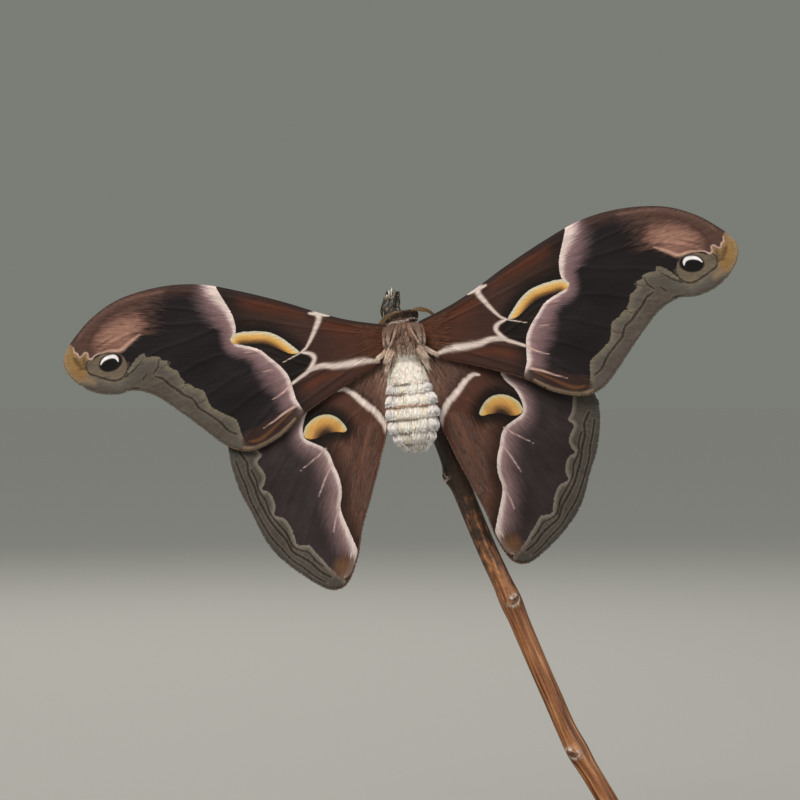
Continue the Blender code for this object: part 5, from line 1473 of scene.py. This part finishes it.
ragged = np.clip(1 - np.arange(len(rows)) / 5, 0, 1)[:, None]
spots[..., 2] += ragged * (0.5 * np.sin(turn * 3 + 1) + 0.45 * np.sin(turn * 7) + 0.3 * np.sin(turn * 13))
mesh.vertices.foreach_set("co", (spots * MM).ravel())
grain = np.stack([np.cos(turn) * TWIG_RADIUS, np.sin(turn) * TWIG_RADIUS, run + 0 * turn], axis=-1)
kept = mesh.attributes.new("grain", "FLOAT_VECTOR", "POINT")
kept.data.foreach_set("vector", grain.astype(np.float32).ravel())
measure(mesh, "scar", scar)
measure(mesh, "height", high)

# worn bark with a low sheen: brown streaks along it, painted shadow of the moth that makes its upper part
# nearly black, and bleached grey at the top
twig_bark, tree, shader = finish("twig_bark", 0.5)
shader.inputs["Specular IOR Level"].default_value = 0.45
spot = add(tree, "ShaderNodeAttribute", {"attribute_name": "grain"}, {}).outputs["Vector"]
streaks = [
    grain_of(tree, spot, stretch, detail)
    for stretch, detail in (((2.2, 2.2, 0.10), 5.0), ((0.9, 0.9, 0.5), 4.0), ((1.7, 1.7, 1.3), 4.0))
]
stops = ((0.3, "#4a2a14", 1), (0.45, "#7a4a2a", 1), (0.56, "#94603a", 1), (0.7, "#b98a5c", 1))
under, _ = shades_at(tree, streaks[0], stops)
stops = ((0.36, "#0b0806", 1), (0.49, "#2b2319", 1), (0.59, "#5c5243", 1), (0.7, "#a89d8e", 1))
bleached, _ = shades_at(tree, streaks[2], stops)
blotch = add(tree, "ShaderNodeMapRange", {"clamp": False}, {0: streaks[1], 1: 0.35, 2: 0.65, 3: -8.0, 4: 8.0})
height = reading(tree, "height", blotch.outputs[0])
# from 66 mm up the bark turns nearly black: painted shadow that the moth's wings and body cast on the twig;
# the bleached grey top lies over it
for start, whole, most, over in ((66.0, 82.0, 0.92, colour("#1a1008")), (104.0, 113.0, 1.0, bleached)):
    part = add(tree, "ShaderNodeMapRange", {}, {0: height, 1: start, 2: whole, 3: 0.0, 4: most}).outputs[0]
    under = add(tree, "ShaderNodeMix", {"data_type": "RGBA"}, {0: part, 6: under, 7: over}).outputs[2]
# the bud scars: a dark pit, then a broken pale rim on the raised bump, partly the scar's own rim and partly
# painted highlight
rim_and_highlight_breaks = add(tree, "ShaderNodeMapRange", {}, {0: streaks[2], 1: 0.44, 2: 0.54, 3: 0.0, 4: 1.0}).outputs[0]
under = paint(tree, under, reading(tree, "scar"), (
    (0.0, "#2e2016", 0.9), (0.4, "#4c3a2c", 0.8), (0.65, "#d3c4b6", 0.95), (0.8, "#b5a595", 0.8),
    (1.3, "#6b5240", 0),
), rim_and_highlight_breaks)
tree.links.new(under, shader.inputs["Base Color"])
ridges = add(tree, "ShaderNodeMath", {"operation": "ADD"}, {0: streaks[0], 1: streaks[2]}).outputs[0]
bump = add(tree, "ShaderNodeBump", {}, {"Strength": 0.6, "Distance": 0.25 * MM, "Height": ridges}).outputs[0]
tree.links.new(bump, shader.inputs["Normal"])
settle(object_of("perch_bark", mesh, twig_bark), "twig_bark", "perch_twig")

# torn fibres that stand up from the broken top
fibres = []
top_x, top_z = TWIG_LINE[0]
for x, y, rise, lean in (
    (-0.75, -1.0, 1.2, -0.05), (-0.35, -1.0, 1.7, 0.05), (0.25, -1.0, 0.9, 0.15), (-1.1, -0.6, 0.4, -0.1),
    (0.7, -0.7, 0.3, 0.2), (0.0, 0.9, 0.8, 0.1), (-0.6, 0.8, 0.6, -0.2),
):
    foot = np.array([top_x + x, y, top_z - 0.8])
    tip = foot + (lean, y * 0.15, 0.6 + rise)
    points = [np.array([BODY.inverted() @ Vector(p)]) for p in (foot, (foot + tip) / 2 + (0.03, 0, 0), tip)]
    out, place = np.array([[0.0, -1.0, 0.0]]), np.array([[0.5 + x / 9, 0.5 + y / 9]])
    low, high = linear("#8a7a66")[None, :], linear("#efe6da")[None, :]
    fibres.append((*points, out, np.array([0.42]), place, low, high))
fibre = coat_finish("dry_wood_fibre", 0.8, 0.05)
tufts("perch_fibres", "twig_bark", fibre, fibres)

# The display stand: a solid wooden base with an oiled finish, and a brushed steel rod with a cup that holds
# the twig's foot. Their solid shapes are right, so only their finishes change.
steel, tree, shader = finish("brushed_steel", 0.34)  # pale metal, its glint drawn out by the brushing
shader.inputs["Metallic"].default_value = 1.0
shader.inputs["Base Color"].default_value = colour("#c6c7c8")
shader.inputs["Anisotropic"].default_value = 0.5

wood, tree, shader = finish("oiled_walnut", 0.42)  # dark brown with a soft sheen, its grain along the base
spot = add(tree, "ShaderNodeTexCoord", {}, {}).outputs["Object"]
rings = grain_of(tree, spot, (40.0, 420.0, 420.0), 5.0, Distortion=0.6)
shade, _ = shades_at(tree, rings, ((0.35, "#2f1c10", 1), (0.68, "#6d4527", 1)))
tree.links.new(shade, shader.inputs["Base Color"])
bump = add(tree, "ShaderNodeBump", {}, {"Strength": 0.15, "Distance": 0.2 * MM, "Height": rings}).outputs[0]
tree.links.new(bump, shader.inputs["Normal"])

for node, material in (("stand_rod", steel), ("stand_base", wood)):
    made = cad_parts[node].data.materials
    made.clear()
    made.append(material)

low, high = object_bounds()
